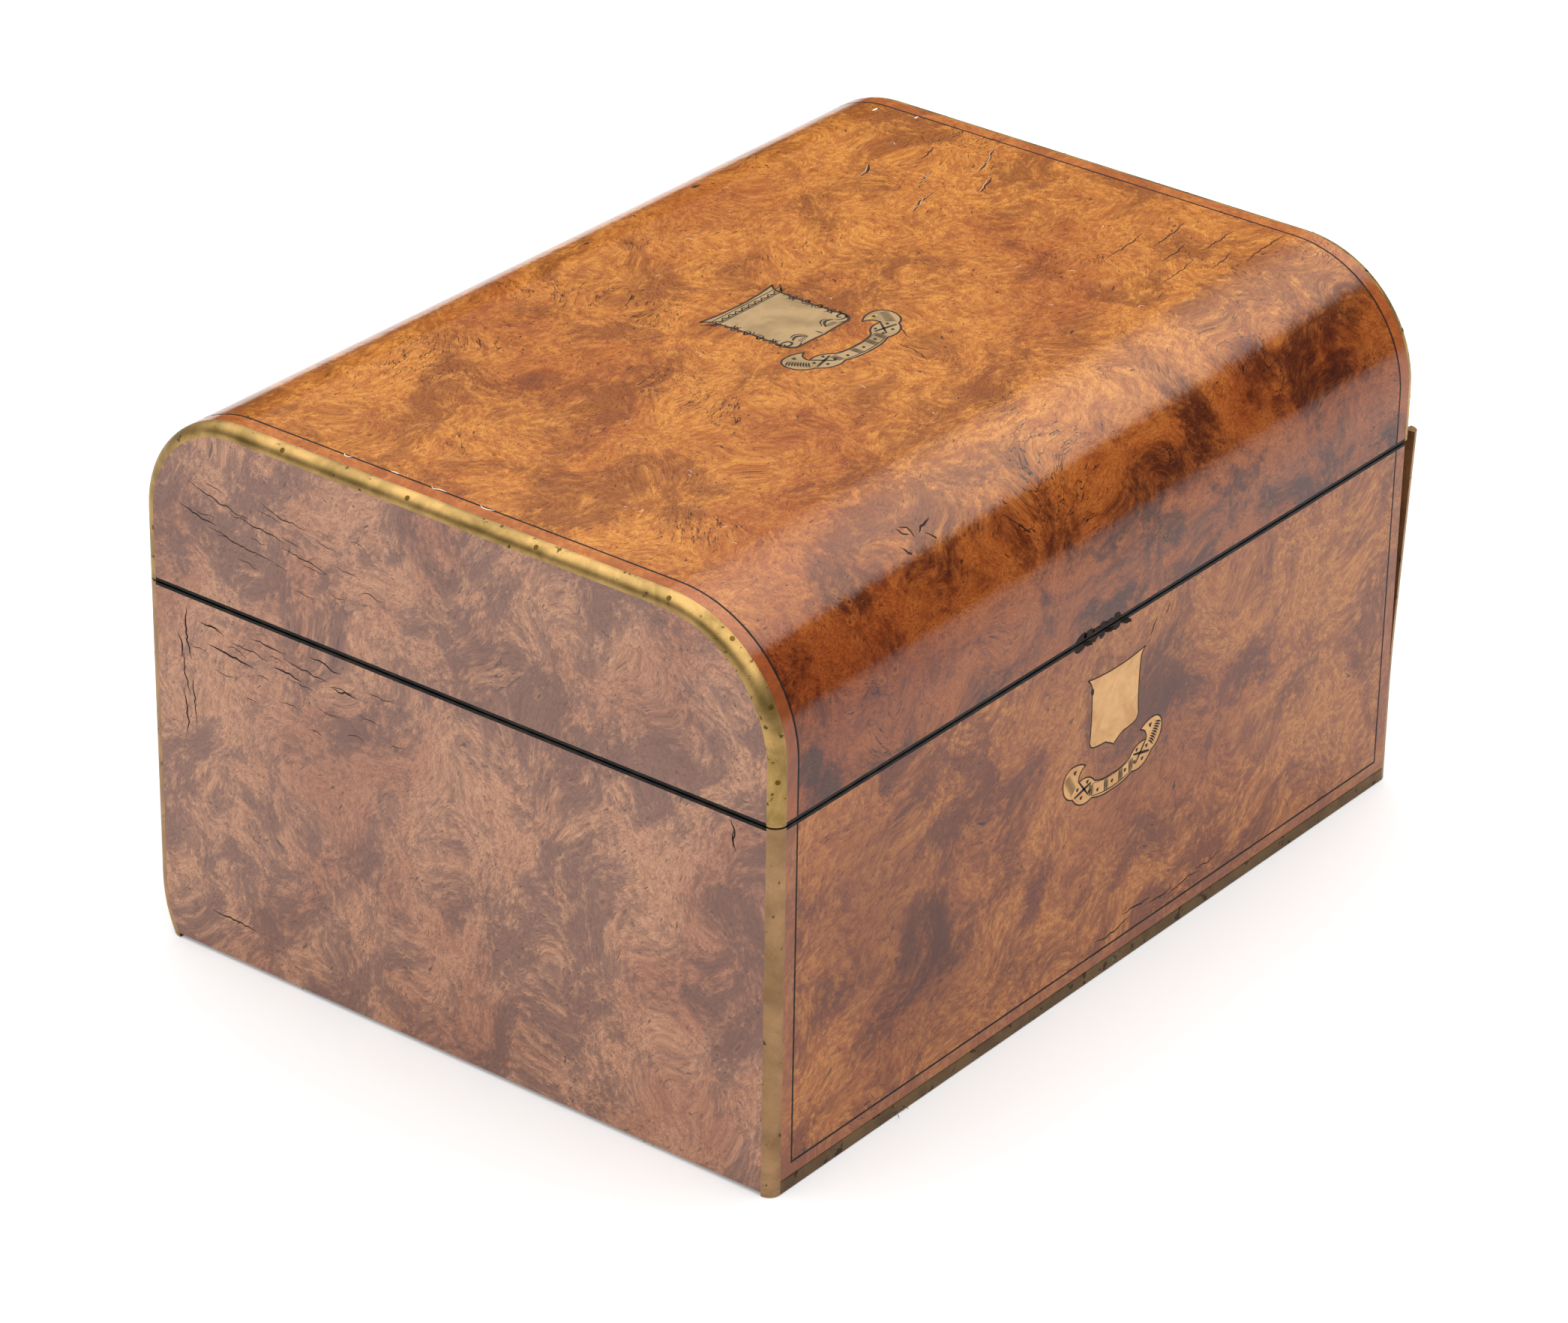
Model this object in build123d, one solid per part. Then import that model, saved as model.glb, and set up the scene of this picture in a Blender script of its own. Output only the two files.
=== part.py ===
from build123d import *
import os
from math import asin, cos, radians, sin, sqrt, tan

# Dressing box with a rolled lid, in millimetres. The origin is the middle of the underside,
# +X runs to the right along the front, +Y to the back and +Z up.

# Case and lid, outside
length = 305.0
depth = 226.4
seam_height = 115.0
total_height = 172.0
front_roll = 40.0
back_roll = 35.0
heel_height = 18.0
heel_inset = 4.0
seam_gap = 0.6

# Boards and skins
board = 9.0
veneer = 1.0
lipping = 0.9
base_thickness = 6.5
dust_thickness = 4.0
baize = 0.8
veneer_foot = 1.2        # the veneer ends this far above the ground

# Brass on the edges
strip = 3.8
strip_roundness = 0.97   # share of the strip that its rounded arris takes
foot_strip_height = 4.3
foot_strip_thickness = 1.7
foot_strip_rounding = 0.8
sprung_from = 30.0       # height at which the loose corner strip leaves its rebate
sprung_angle = 4.0
sprung_bend = 300.0
sprung_overshoot = 1.2

# Stringing
string_width = 0.7
string_depth = 0.6
string_from_end = 8.5
string_from_foot = 8.3

# Inlaid plates
inlay_depth = 0.6
front_inlay_x = 2.0
front_shield_drop = 13.8  # from the seam to the ears
front_shield_half = 11.7
front_shield_height = 25.9
front_shield_lobe = 2.9
front_strap_drop = 14.7   # from the shield's foot to the strap's
front_strap_half = 24.1
lid_inlay_x = 0.8
lid_shield_foot = -8.7
lid_shield_half = 14.0
lid_shield_height = 32.1
lid_shield_lobe = 0.5
lid_strap_foot = -25.3
lid_strap_half = 24.3
strap_height = 15.6

# Hinges, stopped by heels behind their knuckles
hinge_length = 45.0
hinge_centres = 190.0
leaf = 1.2
leaf_width = 8.0
knuckle_radius = 2.2
pin_radius = 1.0
pin_play = 0.05
pin_set_out = 1.2        # from the back face to the pin's axis
knuckles = 5
knuckle_gap = 0.2
knuckle_clearance = 0.4
heel_reach = 4.6
heel_play = 0.5          # degrees
lid_opening = 100.0      # degrees

# Box lock with a hooked bolt and a link plate
lock_x = 3.2
lock_length = 46.0
lock_height = 20.0
lock_wall = 0.9
selvedge_length = 58.0
selvedge = 1.6
loop_spacing = 24.0
loop_thickness = 2.0
loop_width = 4.4
loop_drop = 9.0
loop_play = 0.5
eye_width = 2.4
eye_height = 3.6
eye_rim = 1.5
bolt_travel = 4.0
bolt_stem = 2.5
bolt_play = 0.3

# Jewel drawer in the right end
drawer_guide = 10.8
drawer_height = 25.0
drawer_gap = 0.4
drawer_side = 5.0
drawer_side_height = 20.5
drawer_back_height = 17.5
drawer_bottom = 3.0
drawer_travel = 200.0
dovetails = 2
dovetail_depth = 5.5
dovetail_slope = 10.0
kick_space = 14.0
spring_leaf = 0.6
kick_leaf_width = 12.0
kick_leaf_length = 70.0
ring_rolls_count = 7
ring_roll_radius = 5.0
ring_roll_pitch = 11.0

# Catch and its button
button_set_in = 27.2     # from the front board
button_radius = 3.2
button_rise = 1.6
button_travel = 2.5
rod_radius = 1.4
rod_clearance = 0.4
bush_radius = 4.6
bush_depth = 5.0
catch_width = 14.0
catch_reach = 48.0
catch_seat = 11.0
catch_drop = 6.4
catch_tooth = 3.8
tooth_thickness = 1.2
strike_plate = 1.2
strike_reach = 10.5
strike_lip = 3.0
strike_finger = 3.4

# Fittings of the case
liner = 3.0
button_ledge = 10.0
liner_drop = 3.0
partition = 3.0
partition_drop = 14.0
velvet = 1.0
seat_gap = 0.3
jar_count = 3
jar_width = 44.0
jar_play = 2.0
jar_body = 54.0
jar_corner = 5.0
jar_wall = 4.0
jar_floor = 5.0
neck_radius = 16.0
neck_height = 8.0
neck_wall = 2.5
cap_wall = 1.2
cap_height = 13.0
cap_bevel = 2.5
jar_lift = 20.0
brush_box_play = 5.2     # at each end
brush_box_corner = 4.0
tray_height = 30.0
tray_wall = 3.0
tray_floor = 2.5
tray_play = 0.5
tray_split = 22.0        # from the middle of the case to the cross divider

# Lining and mirror of the lid
panel = 5.0
lid_pocket = 10.0        # behind the panel, for letters
mirror_length = 210.0
mirror_width = 140.0
mirror_border = 10.0
mirror_lip = 3.0
mirror_front = 1.4
glass = 2.6
mirror_play = 0.4

# Levels and faces that several pieces share
end = length / 2
front = -depth / 2
back = depth / 2
case_top = seam_height - seam_gap / 2
case_board_top = case_top - lipping
lid_low = seam_height + seam_gap / 2
lid_board_low = lid_low + lipping
inner_x = end - veneer - board
inner_y = back - veneer - board
floor_top = baize + base_thickness
dust_low = floor_top + drawer_height + 2 * drawer_gap
dust_top = dust_low + dust_thickness
well_floor = dust_top + velvet
liner_top = case_top - liner_drop
partition_top = liner_top - partition_drop
heel_radius = (heel_height**2 + heel_inset**2) / (2 * heel_inset)
strip_inner = end - strip
string_x = end - string_from_end
hinge_y = back + pin_set_out
front_shield_foot = seam_height - front_shield_drop - front_shield_height
front_strap_foot = front_shield_foot - front_strap_drop


def block(x, y, z):
    """A box, from its low and high place along each axis."""
    size = [high - low for low, high in (x, y, z)]
    middle = [(low + high) / 2 for low, high in (x, y, z)]
    return Pos(*middle) * Box(*size)


def about(middle, width):
    """The low and high place of a width about its middle."""
    return (middle - width / 2, middle + width / 2)


def both_ends(shape):
    """A shape and its mirror image at the other end of the box."""
    return Compound(children=[*shape.solids(), *mirror(shape, about=Plane.YZ).solids()])


def group(*shapes):
    """Several solids that lie apart or face to face, as one piece of work."""
    return Compound(children=[s for shape in shapes for s in shape.solids()])


# ---- the side view of the box

def roll(centre_y, centre_z, radius, side):
    """A quarter of the lid's outline, from the upright face (side -1 in front, 1 behind) to the top."""
    lean = radius * sqrt(0.5)
    return ThreePointArc(
        (centre_y + side * radius, centre_z),
        (centre_y + side * lean, centre_z + lean),
        (centre_y, centre_z + radius),
    )


def heel(inset, foot):
    """The rounding at the foot of the back, down to the height foot."""
    radius = heel_radius - inset
    centre_y = back - heel_radius
    turn = asin((heel_height - foot) / radius)
    return ThreePointArc(
        (centre_y + radius, heel_height),
        (centre_y + radius * cos(turn / 2), heel_height - radius * sin(turn / 2)),
        (centre_y + radius * cos(turn), foot),
    )


def outline(inset=0.0):
    """The side view of case and lid, drawn in by inset except along the ground."""
    front_arc = roll(front + front_roll, total_height - front_roll, front_roll - inset, -1)
    back_arc = roll(back - back_roll, total_height - back_roll, back_roll - inset, 1)
    heel_arc = heel(inset, 0)
    edges = [
        Line((front + inset, 0), front_arc @ 0),
        front_arc,
        Line(front_arc @ 1, back_arc @ 1),
        back_arc,
        Line(back_arc @ 0, heel_arc @ 0),
        heel_arc,
        Line(heel_arc @ 1, (front + inset, 0)),
    ]
    return make_face(edges)


def slab(inset, x, z):
    """The outline drawn in by inset, between two places in x and two heights."""
    long_body = extrude(Plane.YZ.offset(x[0]) * outline(inset), x[1] - x[0])
    return long_body & block(x, (-depth, depth), z)


def skin(x, z):
    """The veneer's thickness all round the outline."""
    return slab(0, x, z) - slab(veneer, x, (z[0] - 1, z[1] + 1))


def rims(z):
    """The square rebates along both end arrises that the brass strips lie in."""
    x = (-end, -strip_inner)
    rim = slab(0, x, z) - slab(strip, x, (z[0] - 1, z[1] + 1))
    return both_ends(rim)


# ---- brass on the arrises

def strip_section(inward_y):
    """Plan of a strip at the left end: a square whose outer corner is rounded."""
    square = Pos(strip / 2, inward_y * strip / 2) * Rectangle(strip, strip)
    corner = min(square.vertices(), key=lambda v: v.X + inward_y * v.Y)
    return fillet(corner, strip * strip_roundness)


def lid_arch_strips():
    front_arc = roll(front + front_roll, total_height - front_roll, front_roll, -1)
    back_arc = roll(back - back_roll, total_height - back_roll, back_roll, 1)
    path = Wire([
        Line((front, 0), front_arc @ 0),
        front_arc,
        Line(front_arc @ 1, back_arc @ 1),
        back_arc,
        Line(back_arc @ 0, (back, heel_height)),
    ])
    bow = sweep(Pos(-end, front) * strip_section(1), path=Plane.YZ.offset(-end) * path)
    return both_ends(bow & block((-length, 0), (-depth, depth), (lid_low, 2 * total_height)))


def case_corner_strips():
    """Left front, left back and right back. The right front one is sprung_corner_strip."""
    upright = extrude(Pos(-end, front, 0) * strip_section(1), case_top)
    below = -strip
    curve = heel(0, below)
    path = Wire([Line((back, case_top), (back, heel_height)), curve])
    section = Pos(-end, back, case_top) * strip_section(-1)
    rear = sweep(section, path=Plane.YZ.offset(-end) * path)
    rear = rear & block((-length, length), (-depth, depth), (0, total_height))
    return group(upright, both_ends(rear))


def sprung_corner_strip():
    """Held at its foot and sprung out of its rebate to the right above."""
    seated = Line((0, 0), (0, sprung_from))
    bend = JernArc(seated @ 1, (0, 1), sprung_bend, -sprung_angle)
    rest = case_top + sprung_overshoot - (bend @ 1).Y
    lean = radians(sprung_angle)
    free = Line(bend @ 1, (bend @ 1) + Vector(rest * tan(lean), rest))
    path = Plane.XZ * Wire([seated, bend, free])
    section = mirror(strip_section(1), about=Plane.YZ)
    return Pos(end, front, 0) * sweep(section, path=path)


def foot_strip_space():
    return block((-strip_inner, strip_inner), (front, front + foot_strip_thickness), (0, foot_strip_height))


def foot_strip():
    bar = foot_strip_space()
    arris = bar.edges().filter_by(Axis.X).sort_by(lambda e: e.center().Y)[:2]
    return fillet(arris.sort_by(Axis.Z)[-1], foot_strip_rounding)


# ---- inlaid plates, drawn upright about x = 0 with their foot at 0

def mirrored_face(right_half):
    """A closed face from the right half of its outline: corners with an arc's middle point between each two."""
    edges = []
    for start, middle, stop in zip(right_half[::2], right_half[1::2], right_half[2::2]):
        edges.append(ThreePointArc(start, middle, stop))
    other = [mirror(edge, about=Plane.YZ) for edge in edges]
    return make_face([*edges, *other])


def shield(half_width, height, lobe):
    """Shield with pricked ears and a pointed foot between two lobes, whose foot stands at lobe."""
    w, h = half_width, height
    return mirrored_face([
        (0, 0.955 * h),
        (0.6 * w, 0.965 * h),
        (1.2 * w, h),                   # tip of the ear
        (1.09 * w, 0.955 * h),
        (1.02 * w, 0.9 * h),
        (0.98 * w, 0.55 * h),
        (w, lobe + 0.14 * h),
        (0.97 * w, lobe + 0.04 * h),
        (0.82 * w, lobe),
        (0.6 * w, 0.88 * lobe),
        (0.4 * w, 0.84 * lobe),
        (0.2 * w, 0.5 * lobe),
        (0, 0),                         # point of the foot
    ])


def strap(half_width):
    """Hanging ribbon: a plain band, a lobe at each side, and ends that curl up into beaked heads."""
    w, h = half_width, strap_height
    return mirrored_face([
        (0, 0),
        (0.21 * w, 0.015 * h),
        (0.41 * w, 0.1 * h),            # band meets lobe
        (0.62 * w, 0.09 * h),
        (0.8 * w, 0.31 * h),            # lobe meets neck
        (0.94 * w, 0.44 * h),
        (w, 0.69 * h),
        (0.96 * w, 0.89 * h),
        (0.83 * w, 0.985 * h),
        (0.68 * w, 0.96 * h),
        (0.55 * w, 0.86 * h),           # tip of the beak
        (0.665 * w, 0.75 * h),
        (0.685 * w, 0.59 * h),          # throat
        (0.53 * w, 0.6 * h),
        (0.355 * w, 0.42 * h),
        (0.18 * w, 0.345 * h),
        (0, 0.34 * h),
    ])


def front_plate(face, foot):
    """A plate let into the front from its outside face inwards."""
    plane = Plane((front_inlay_x, front, foot), x_dir=(1, 0, 0), z_dir=(0, -1, 0))
    return extrude(plane * face, -inlay_depth)


def lid_plate(face, foot):
    """A plate let into the top from its upper face downwards."""
    return extrude(Pos(lid_inlay_x, foot, total_height) * face, -inlay_depth)


def front_shield():
    return front_plate(shield(front_shield_half, front_shield_height, front_shield_lobe), front_shield_foot)


def front_strap():
    return front_plate(strap(front_strap_half), front_strap_foot)


def lid_shield():
    return lid_plate(shield(lid_shield_half, lid_shield_height, lid_shield_lobe), lid_shield_foot)


def lid_strap():
    return lid_plate(strap(lid_strap_half), lid_strap_foot)


# ---- stringing

def string_band():
    """A string's width at both ends of the box."""
    return about(-string_x, string_width), about(string_x, string_width)


def case_stringing():
    """Two uprights and a foot line on the front, as one let-in line."""
    y = (front, front + string_depth)
    height = about(string_from_foot, string_width)
    line = block((-string_x - string_width / 2, string_x + string_width / 2), y, height)
    for x in string_band():
        line += block(x, y, (height[0], case_board_top))
    return line


def lid_stringing():
    lines = []
    for x in string_band():
        z = (lid_board_low, total_height)
        lines.append(slab(0, x, z) - slab(string_depth, x, (z[0] - 1, z[1])))
    return group(*lines)


# ---- hinges

def hinge_places():
    return (-hinge_centres / 2, hinge_centres / 2)


def along_pin(radius, x):
    """A round bar on the hinge's axis."""
    bar = Cylinder(radius, x[1] - x[0])
    return Pos((x[0] + x[1]) / 2, hinge_y, seam_height) * Rot(0, 90, 0) * bar


def heel_wedge(x, upper):
    """The stop behind the knuckle, whose face meets the other leaf's at the end of the travel."""
    side = 1 if upper else -1
    face_angle = lid_opening / 2 + heel_play
    lean = radians(face_angle)
    mid = radians((face_angle + 90) / 2)
    pie = make_face([
        Line((0, 0), (heel_reach * cos(lean), side * heel_reach * sin(lean))),
        ThreePointArc(
            (heel_reach * cos(lean), side * heel_reach * sin(lean)),
            (heel_reach * cos(mid), side * heel_reach * sin(mid)),
            (0, side * heel_reach),
        ),
        Line((0, side * heel_reach), (0, 0)),
    ])
    plane = Plane((x[0], hinge_y, seam_height), x_dir=(0, 1, 0), z_dir=(1, 0, 0))
    wedge = extrude(plane * pie, x[1] - x[0])
    return wedge if wedge.volume > 0 else -wedge


def leaf_plate(middle, upper):
    z = (lid_low, lid_low + leaf) if upper else (case_top - leaf, case_top)
    return block(about(middle, hinge_length), (hinge_y - leaf_width, hinge_y), z)


def hinge_leaf(middle, upper):
    """A leaf with every second knuckle, and its half of the stop."""
    pitch = hinge_length / knuckles
    low = middle - hinge_length / 2
    whole = (low, low + hinge_length)
    clear = along_pin(knuckle_radius + knuckle_clearance, whole)
    plate = leaf_plate(middle, upper)
    stop = heel_wedge(whole, upper)
    hinge = (plate - clear) + (stop - clear)
    for n in range(1 if upper else 0, knuckles, 2):
        x = (low + n * pitch + knuckle_gap / 2, low + (n + 1) * pitch - knuckle_gap / 2)
        band = block(x, (0, depth), (0, total_height))
        hinge += along_pin(knuckle_radius, x) + (plate & band) + (stop & band)
    return hinge - along_pin(pin_radius + pin_play, (whole[0] - 1, whole[1] + 1))


def hinge_lower_leaves():
    return group(*[hinge_leaf(x, False) for x in hinge_places()])


def hinge_upper_leaves():
    return group(*[hinge_leaf(x, True) for x in hinge_places()])


def hinge_pins():
    return group(*[along_pin(pin_radius, about(x, hinge_length)) for x in hinge_places()])


def hinge_pockets(upper):
    """What the leaves and the turning knuckles need cut out of the boards."""
    pockets = []
    for x in hinge_places():
        room = along_pin(knuckle_radius + knuckle_clearance, about(x, hinge_length + 2 * knuckle_gap))
        pockets.append(leaf_plate(x, upper) + room)
    return group(*pockets)


# ---- lock

lock_depth = loop_width + 2 * loop_play + 2 * lock_wall
lock_y = -inner_y - lock_depth / 2
loop_places = (lock_x - loop_spacing / 2, lock_x + loop_spacing / 2)
eye_low = lid_low - loop_drop + eye_rim
bolt_floor = case_top - lock_height + lock_wall


def lock_body():
    """The outside of the lock: its case and the selvedge on top."""
    case = block(
        about(lock_x, lock_length), (-inner_y - lock_depth, -inner_y), (case_top - lock_height, case_top)
    )
    return case + selvedge_plate(case_top - selvedge)


def selvedge_plate(low):
    return block(about(lock_x, selvedge_length), (-inner_y - lock_depth, -inner_y), (low, low + selvedge))


def lock_case():
    lock = lock_body() - block(
        about(lock_x, lock_length - 2 * lock_wall),
        about(lock_y, lock_depth - 2 * lock_wall),
        (bolt_floor, case_top - selvedge),
    )
    for x in loop_places:
        slot = block(
            about(x, loop_thickness + 2 * loop_play),
            about(lock_y, loop_width + 2 * loop_play),
            (case_top - 2 * selvedge, case_top + 1),
        )
        lock -= slot
    return lock


def lock_link_plate():
    plate = selvedge_plate(lid_low)
    for x in loop_places:
        loop = block(about(x, loop_thickness), about(lock_y, loop_width), (lid_low - loop_drop, lid_low))
        eye = block(about(x, loop_thickness + 2), about(lock_y, eye_width), (eye_low, eye_low + eye_height))
        plate += loop - eye
    return plate


def lock_bolt():
    """Unlocked: its fingers stand beside the loops' eyes, and enter them as it slides to the right."""
    y = about(lock_y, eye_width - 2 * bolt_play)
    finger_z = (eye_low + bolt_play, eye_low + eye_height - bolt_play)
    bar_top = lid_low - loop_drop - bolt_play
    stems = [x - loop_thickness / 2 - loop_play - bolt_travel - bolt_stem for x in loop_places]
    bolt = block((stems[0], stems[-1] + bolt_stem), y, (bolt_floor + bolt_play, bar_top))
    for x in stems:
        bolt += block((x, x + bolt_stem), y, (bolt_floor + bolt_play, finger_z[1]))
        bolt += block((x, x + bolt_stem + bolt_travel), y, finger_z)
    return bolt


# ---- catch and button

button_x = inner_x - button_ledge / 2
button_y = -inner_y + button_set_in
catch_tip = button_x + rod_radius
catch_z = dust_low - catch_drop
lip_x = inner_x - strike_reach
tooth_x = lip_x + strike_plate + seat_gap
drawer_low = floor_top + drawer_gap
drawer_half = inner_y - drawer_guide - drawer_gap
drawer_top = drawer_low + drawer_height
strike_top = drawer_top - drawer_gap


def rod_bore(z):
    return Pos(button_x, button_y, (z[0] + z[1]) / 2) * Cylinder(rod_radius + rod_clearance, z[1] - z[0])


def bush_space():
    return Pos(button_x, button_y, liner_top - bush_depth / 2) * Cylinder(bush_radius, bush_depth)


def button_bush():
    return bush_space() - Pos(button_x, button_y, liner_top) * Cylinder(button_radius + rod_clearance, 4 * bush_depth)


def release_button():
    """Bevelled head on a long rod that stands just over the catch."""
    rod_low = catch_z + spring_leaf + seat_gap
    head_low = liner_top - bush_depth + button_travel + seat_gap
    button_crown = button_radius - button_rise
    half = make_face([
        Line((0, rod_low), (rod_radius, rod_low)),
        Line((rod_radius, rod_low), (rod_radius, head_low)),
        Line((rod_radius, head_low), (button_radius, head_low)),
        Line((button_radius, head_low), (button_radius, liner_top)),
        Line((button_radius, liner_top), (button_crown, liner_top + button_rise)),
        Line((button_crown, liner_top + button_rise), (0, liner_top + button_rise)),
        Line((0, liner_top + button_rise), (0, rod_low)),
    ])
    return Pos(button_x, button_y, 0) * revolve(Plane.XZ * half, Axis.Z)


def catch_spring():
    """Leaf under the dust board: its tooth stands behind the lips of the drawer's strike."""
    start = catch_tip - catch_reach
    seat = start + catch_seat
    line = FilletPolyline(
        (start, dust_low - spring_leaf / 2), (seat, dust_low - spring_leaf / 2),
        (lip_x - strike_plate - catch_seat / 2, catch_z + spring_leaf / 2), (catch_tip, catch_z + spring_leaf / 2),
        radius=catch_seat / 2,
    )
    band = trace(line, spring_leaf)
    leaf_body = extrude(Plane.XZ.offset(-button_y - catch_width / 2) * band, catch_width)
    tooth = block((tooth_x, tooth_x + tooth_thickness), about(button_y, catch_width), (catch_z, catch_z + catch_tooth))
    return leaf_body + tooth


def drawer_strike():
    """Forked bracket on the drawer's front: two lips hang before the catch's tooth, the rod stands between."""
    slot = 2 * (rod_radius + rod_clearance)
    width = slot + 2 * strike_finger
    bracket = block((lip_x, inner_x), about(button_y, width), (strike_top - strike_plate, strike_top))
    bracket += block((lip_x, lip_x + strike_plate), about(button_y, width), (strike_top - strike_lip, strike_top))
    bracket += block((inner_x - strike_plate, inner_x), about(button_y, width), (strike_top - 2 * strike_lip, strike_top))
    fork = block((lip_x - 1, inner_x - strike_plate), about(button_y, slot), (0, strike_top + 1))
    return bracket - fork


def kick_spring():
    """Bowed leaf between the left end and the drawer's back."""
    rise = kick_space - spring_leaf
    x = -inner_x
    half = kick_leaf_length / 2
    outer = ThreePointArc((x + spring_leaf, -half), (x + spring_leaf + rise - seat_gap, 0), (x + spring_leaf, half))
    inner = ThreePointArc((x, -half), (x + rise - seat_gap, 0), (x, half))
    face = make_face([outer, inner, Line(inner @ 0, outer @ 0), Line(inner @ 1, outer @ 1)])
    middle = floor_top + drawer_height / 2
    return Pos(0, 0, middle - kick_leaf_width / 2) * extrude(face, kick_leaf_width)


# ---- case

def carcass_x():
    return (-inner_x, inner_x)


def front_board():
    wall = block(carcass_x(), (front + veneer, -inner_y), (baize, case_board_top))
    return wall - foot_strip_space() - lock_body()


def back_board():
    wall = slab(veneer, carcass_x(), (baize, case_board_top)) & block(carcass_x(), (inner_y, back), (0, total_height))
    return wall - hinge_pockets(False)


def end_board(side):
    x = sorted((side * inner_x, side * (end - veneer)))
    z = (baize, case_board_top)
    return slab(veneer, x, z) - rims(z) - foot_strip_space()


def drawer_mouth(x):
    half = drawer_half + drawer_gap
    return block(x, (-half, half), (floor_top, dust_low))


def left_end_board():
    return end_board(-1)


def right_end_board():
    return end_board(1) - drawer_mouth((inner_x, end))


def base_board():
    return block(carcass_x(), (-inner_y, inner_y), (baize, floor_top))


def dust_board():
    return block(carcass_x(), (-inner_y, inner_y), (dust_low, dust_top)) - rod_bore((dust_low - 1, dust_top + 1))


def drawer_guides():
    """Fillets that close the space beside the drawer and carry the dust board."""
    guide = block(carcass_x(), (inner_y - drawer_guide, inner_y), (floor_top, dust_low))
    return group(guide, mirror(guide, about=Plane.XZ))


def base_baize():
    rear = (heel(0, baize) @ 1).X - strip
    return block((-strip_inner, strip_inner), (front + foot_strip_thickness, rear), (0, baize))


def front_veneer():
    sheet = block((-strip_inner, strip_inner), (front, front + veneer), (foot_strip_height, case_board_top))
    return sheet - case_stringing() - front_shield() - front_strap()


def back_veneer():
    x = (-strip_inner, strip_inner)
    sheet = skin(x, (veneer_foot, case_board_top)) & block(x, (0, depth), (0, total_height))
    return sheet - hinge_pockets(False)


def end_veneers():
    z = (veneer_foot, case_board_top)
    sheet = slab(strip, (-end, -end + veneer), z)
    return group(sheet, mirror(sheet, about=Plane.YZ) - drawer_mouth((inner_x, end + 1)))


def rim_frame(z):
    """A frame that covers the edges of boards and veneers, between the brass strips."""
    frame = slab(0, (-end, end), z) - block(carcass_x(), (-inner_y, inner_y), (z[0] - 1, z[1] + 1))
    return frame - rims(z)


def case_lipping():
    return rim_frame((case_board_top, case_top)) - lock_body() - hinge_pockets(False)


# ---- lid

def lid_shell():
    z = (lid_board_low, total_height)
    shell = slab(veneer, carcass_x(), z) - slab(veneer + board, carcass_x(), (z[0] - 1, z[1]))
    return shell - hinge_pockets(True) - selvedge_plate(lid_low)


def lid_end_boards():
    z = (lid_board_low, total_height)
    plate = slab(veneer, (-end + veneer, -inner_x), z) - rims(z)
    return both_ends(plate)


def lid_veneer():
    sheet = skin((-strip_inner, strip_inner), (lid_board_low, total_height))
    return sheet - lid_stringing() - lid_shield() - lid_strap() - hinge_pockets(True)


def lid_end_veneers():
    return both_ends(slab(strip, (-end, -end + veneer), (lid_board_low, total_height)))


def lid_lipping():
    return rim_frame((lid_low, lid_board_low)) - selvedge_plate(lid_low) - hinge_pockets(True)


# ---- lid lining and mirror

panel_low = total_height - veneer - board - lid_pocket - panel


def mirror_space(play):
    return block(
        about(0, mirror_length + 2 * play), about(0, mirror_width + 2 * play), (panel_low, panel_low + panel)
    )


def lid_panel():
    return slab(veneer + board, carcass_x(), (panel_low, panel_low + panel)) - mirror_space(mirror_play)


def glass_space():
    border = mirror_border - mirror_lip
    glass_low = panel_low + mirror_front
    return block(
        about(0, mirror_length - 2 * border), about(0, mirror_width - 2 * border), (glass_low, glass_low + glass)
    )


def mirror_frame():
    sight = block(
        about(0, mirror_length - 2 * mirror_border), about(0, mirror_width - 2 * mirror_border),
        (panel_low - 1, panel_low + panel + 1),
    )
    ring = mirror_space(0)
    face_edges = ring.faces().sort_by(Axis.Z)[0].edges()
    return chamfer(face_edges, mirror_front / 2) - sight - glass_space()


def mirror_glass():
    return glass_space()


# ---- drawer

drawer_rear = -inner_x + kick_space
front_x = (inner_x, end - veneer)


def side_tails(side):
    """Dovetails at the front end of a drawer side, which enter the drawer's front from behind."""
    pitch = drawer_side_height / dovetails
    y = sorted((side * drawer_half, side * (drawer_half - drawer_side)))
    tails = []
    for n in range(dovetails):
        middle = drawer_low + (n + 0.5) * pitch
        neck = pitch * 0.26
        flare = neck + dovetail_depth * tan(radians(dovetail_slope))
        tail = make_face(Polyline(
            (inner_x, middle - neck), (inner_x + dovetail_depth, middle - flare),
            (inner_x + dovetail_depth, middle + flare), (inner_x, middle + neck), close=True,
        ))
        tails.append(extrude(Plane.XZ.offset(-y[1]) * tail, y[1] - y[0]))
    return tails


def drawer_front():
    wood = block(front_x, (-drawer_half, drawer_half), (drawer_low, drawer_top))
    for side in (-1, 1):
        for tail in side_tails(side):
            wood -= tail
    return wood


def drawer_front_veneer():
    return block((end - veneer, end), (-drawer_half, drawer_half), (drawer_low, drawer_top))


def drawer_box():
    """Two sides, back and bottom."""
    boards = []
    for side in (-1, 1):
        y = sorted((side * drawer_half, side * (drawer_half - drawer_side)))
        wall = block((drawer_rear, inner_x), y, (drawer_low, drawer_low + drawer_side_height))
        for tail in side_tails(side):
            wall += tail
        boards.append(wall)
    floor = (drawer_low, drawer_low + drawer_bottom)
    back_z = (floor[1], drawer_low + drawer_back_height)
    boards.append(block((drawer_rear, inner_x), drawer_inside(), floor))
    boards.append(block((drawer_rear, drawer_rear + drawer_side), drawer_inside(), back_z))
    return group(*boards)


def drawer_inside():
    return (-drawer_half + drawer_side, drawer_half - drawer_side)


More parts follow.
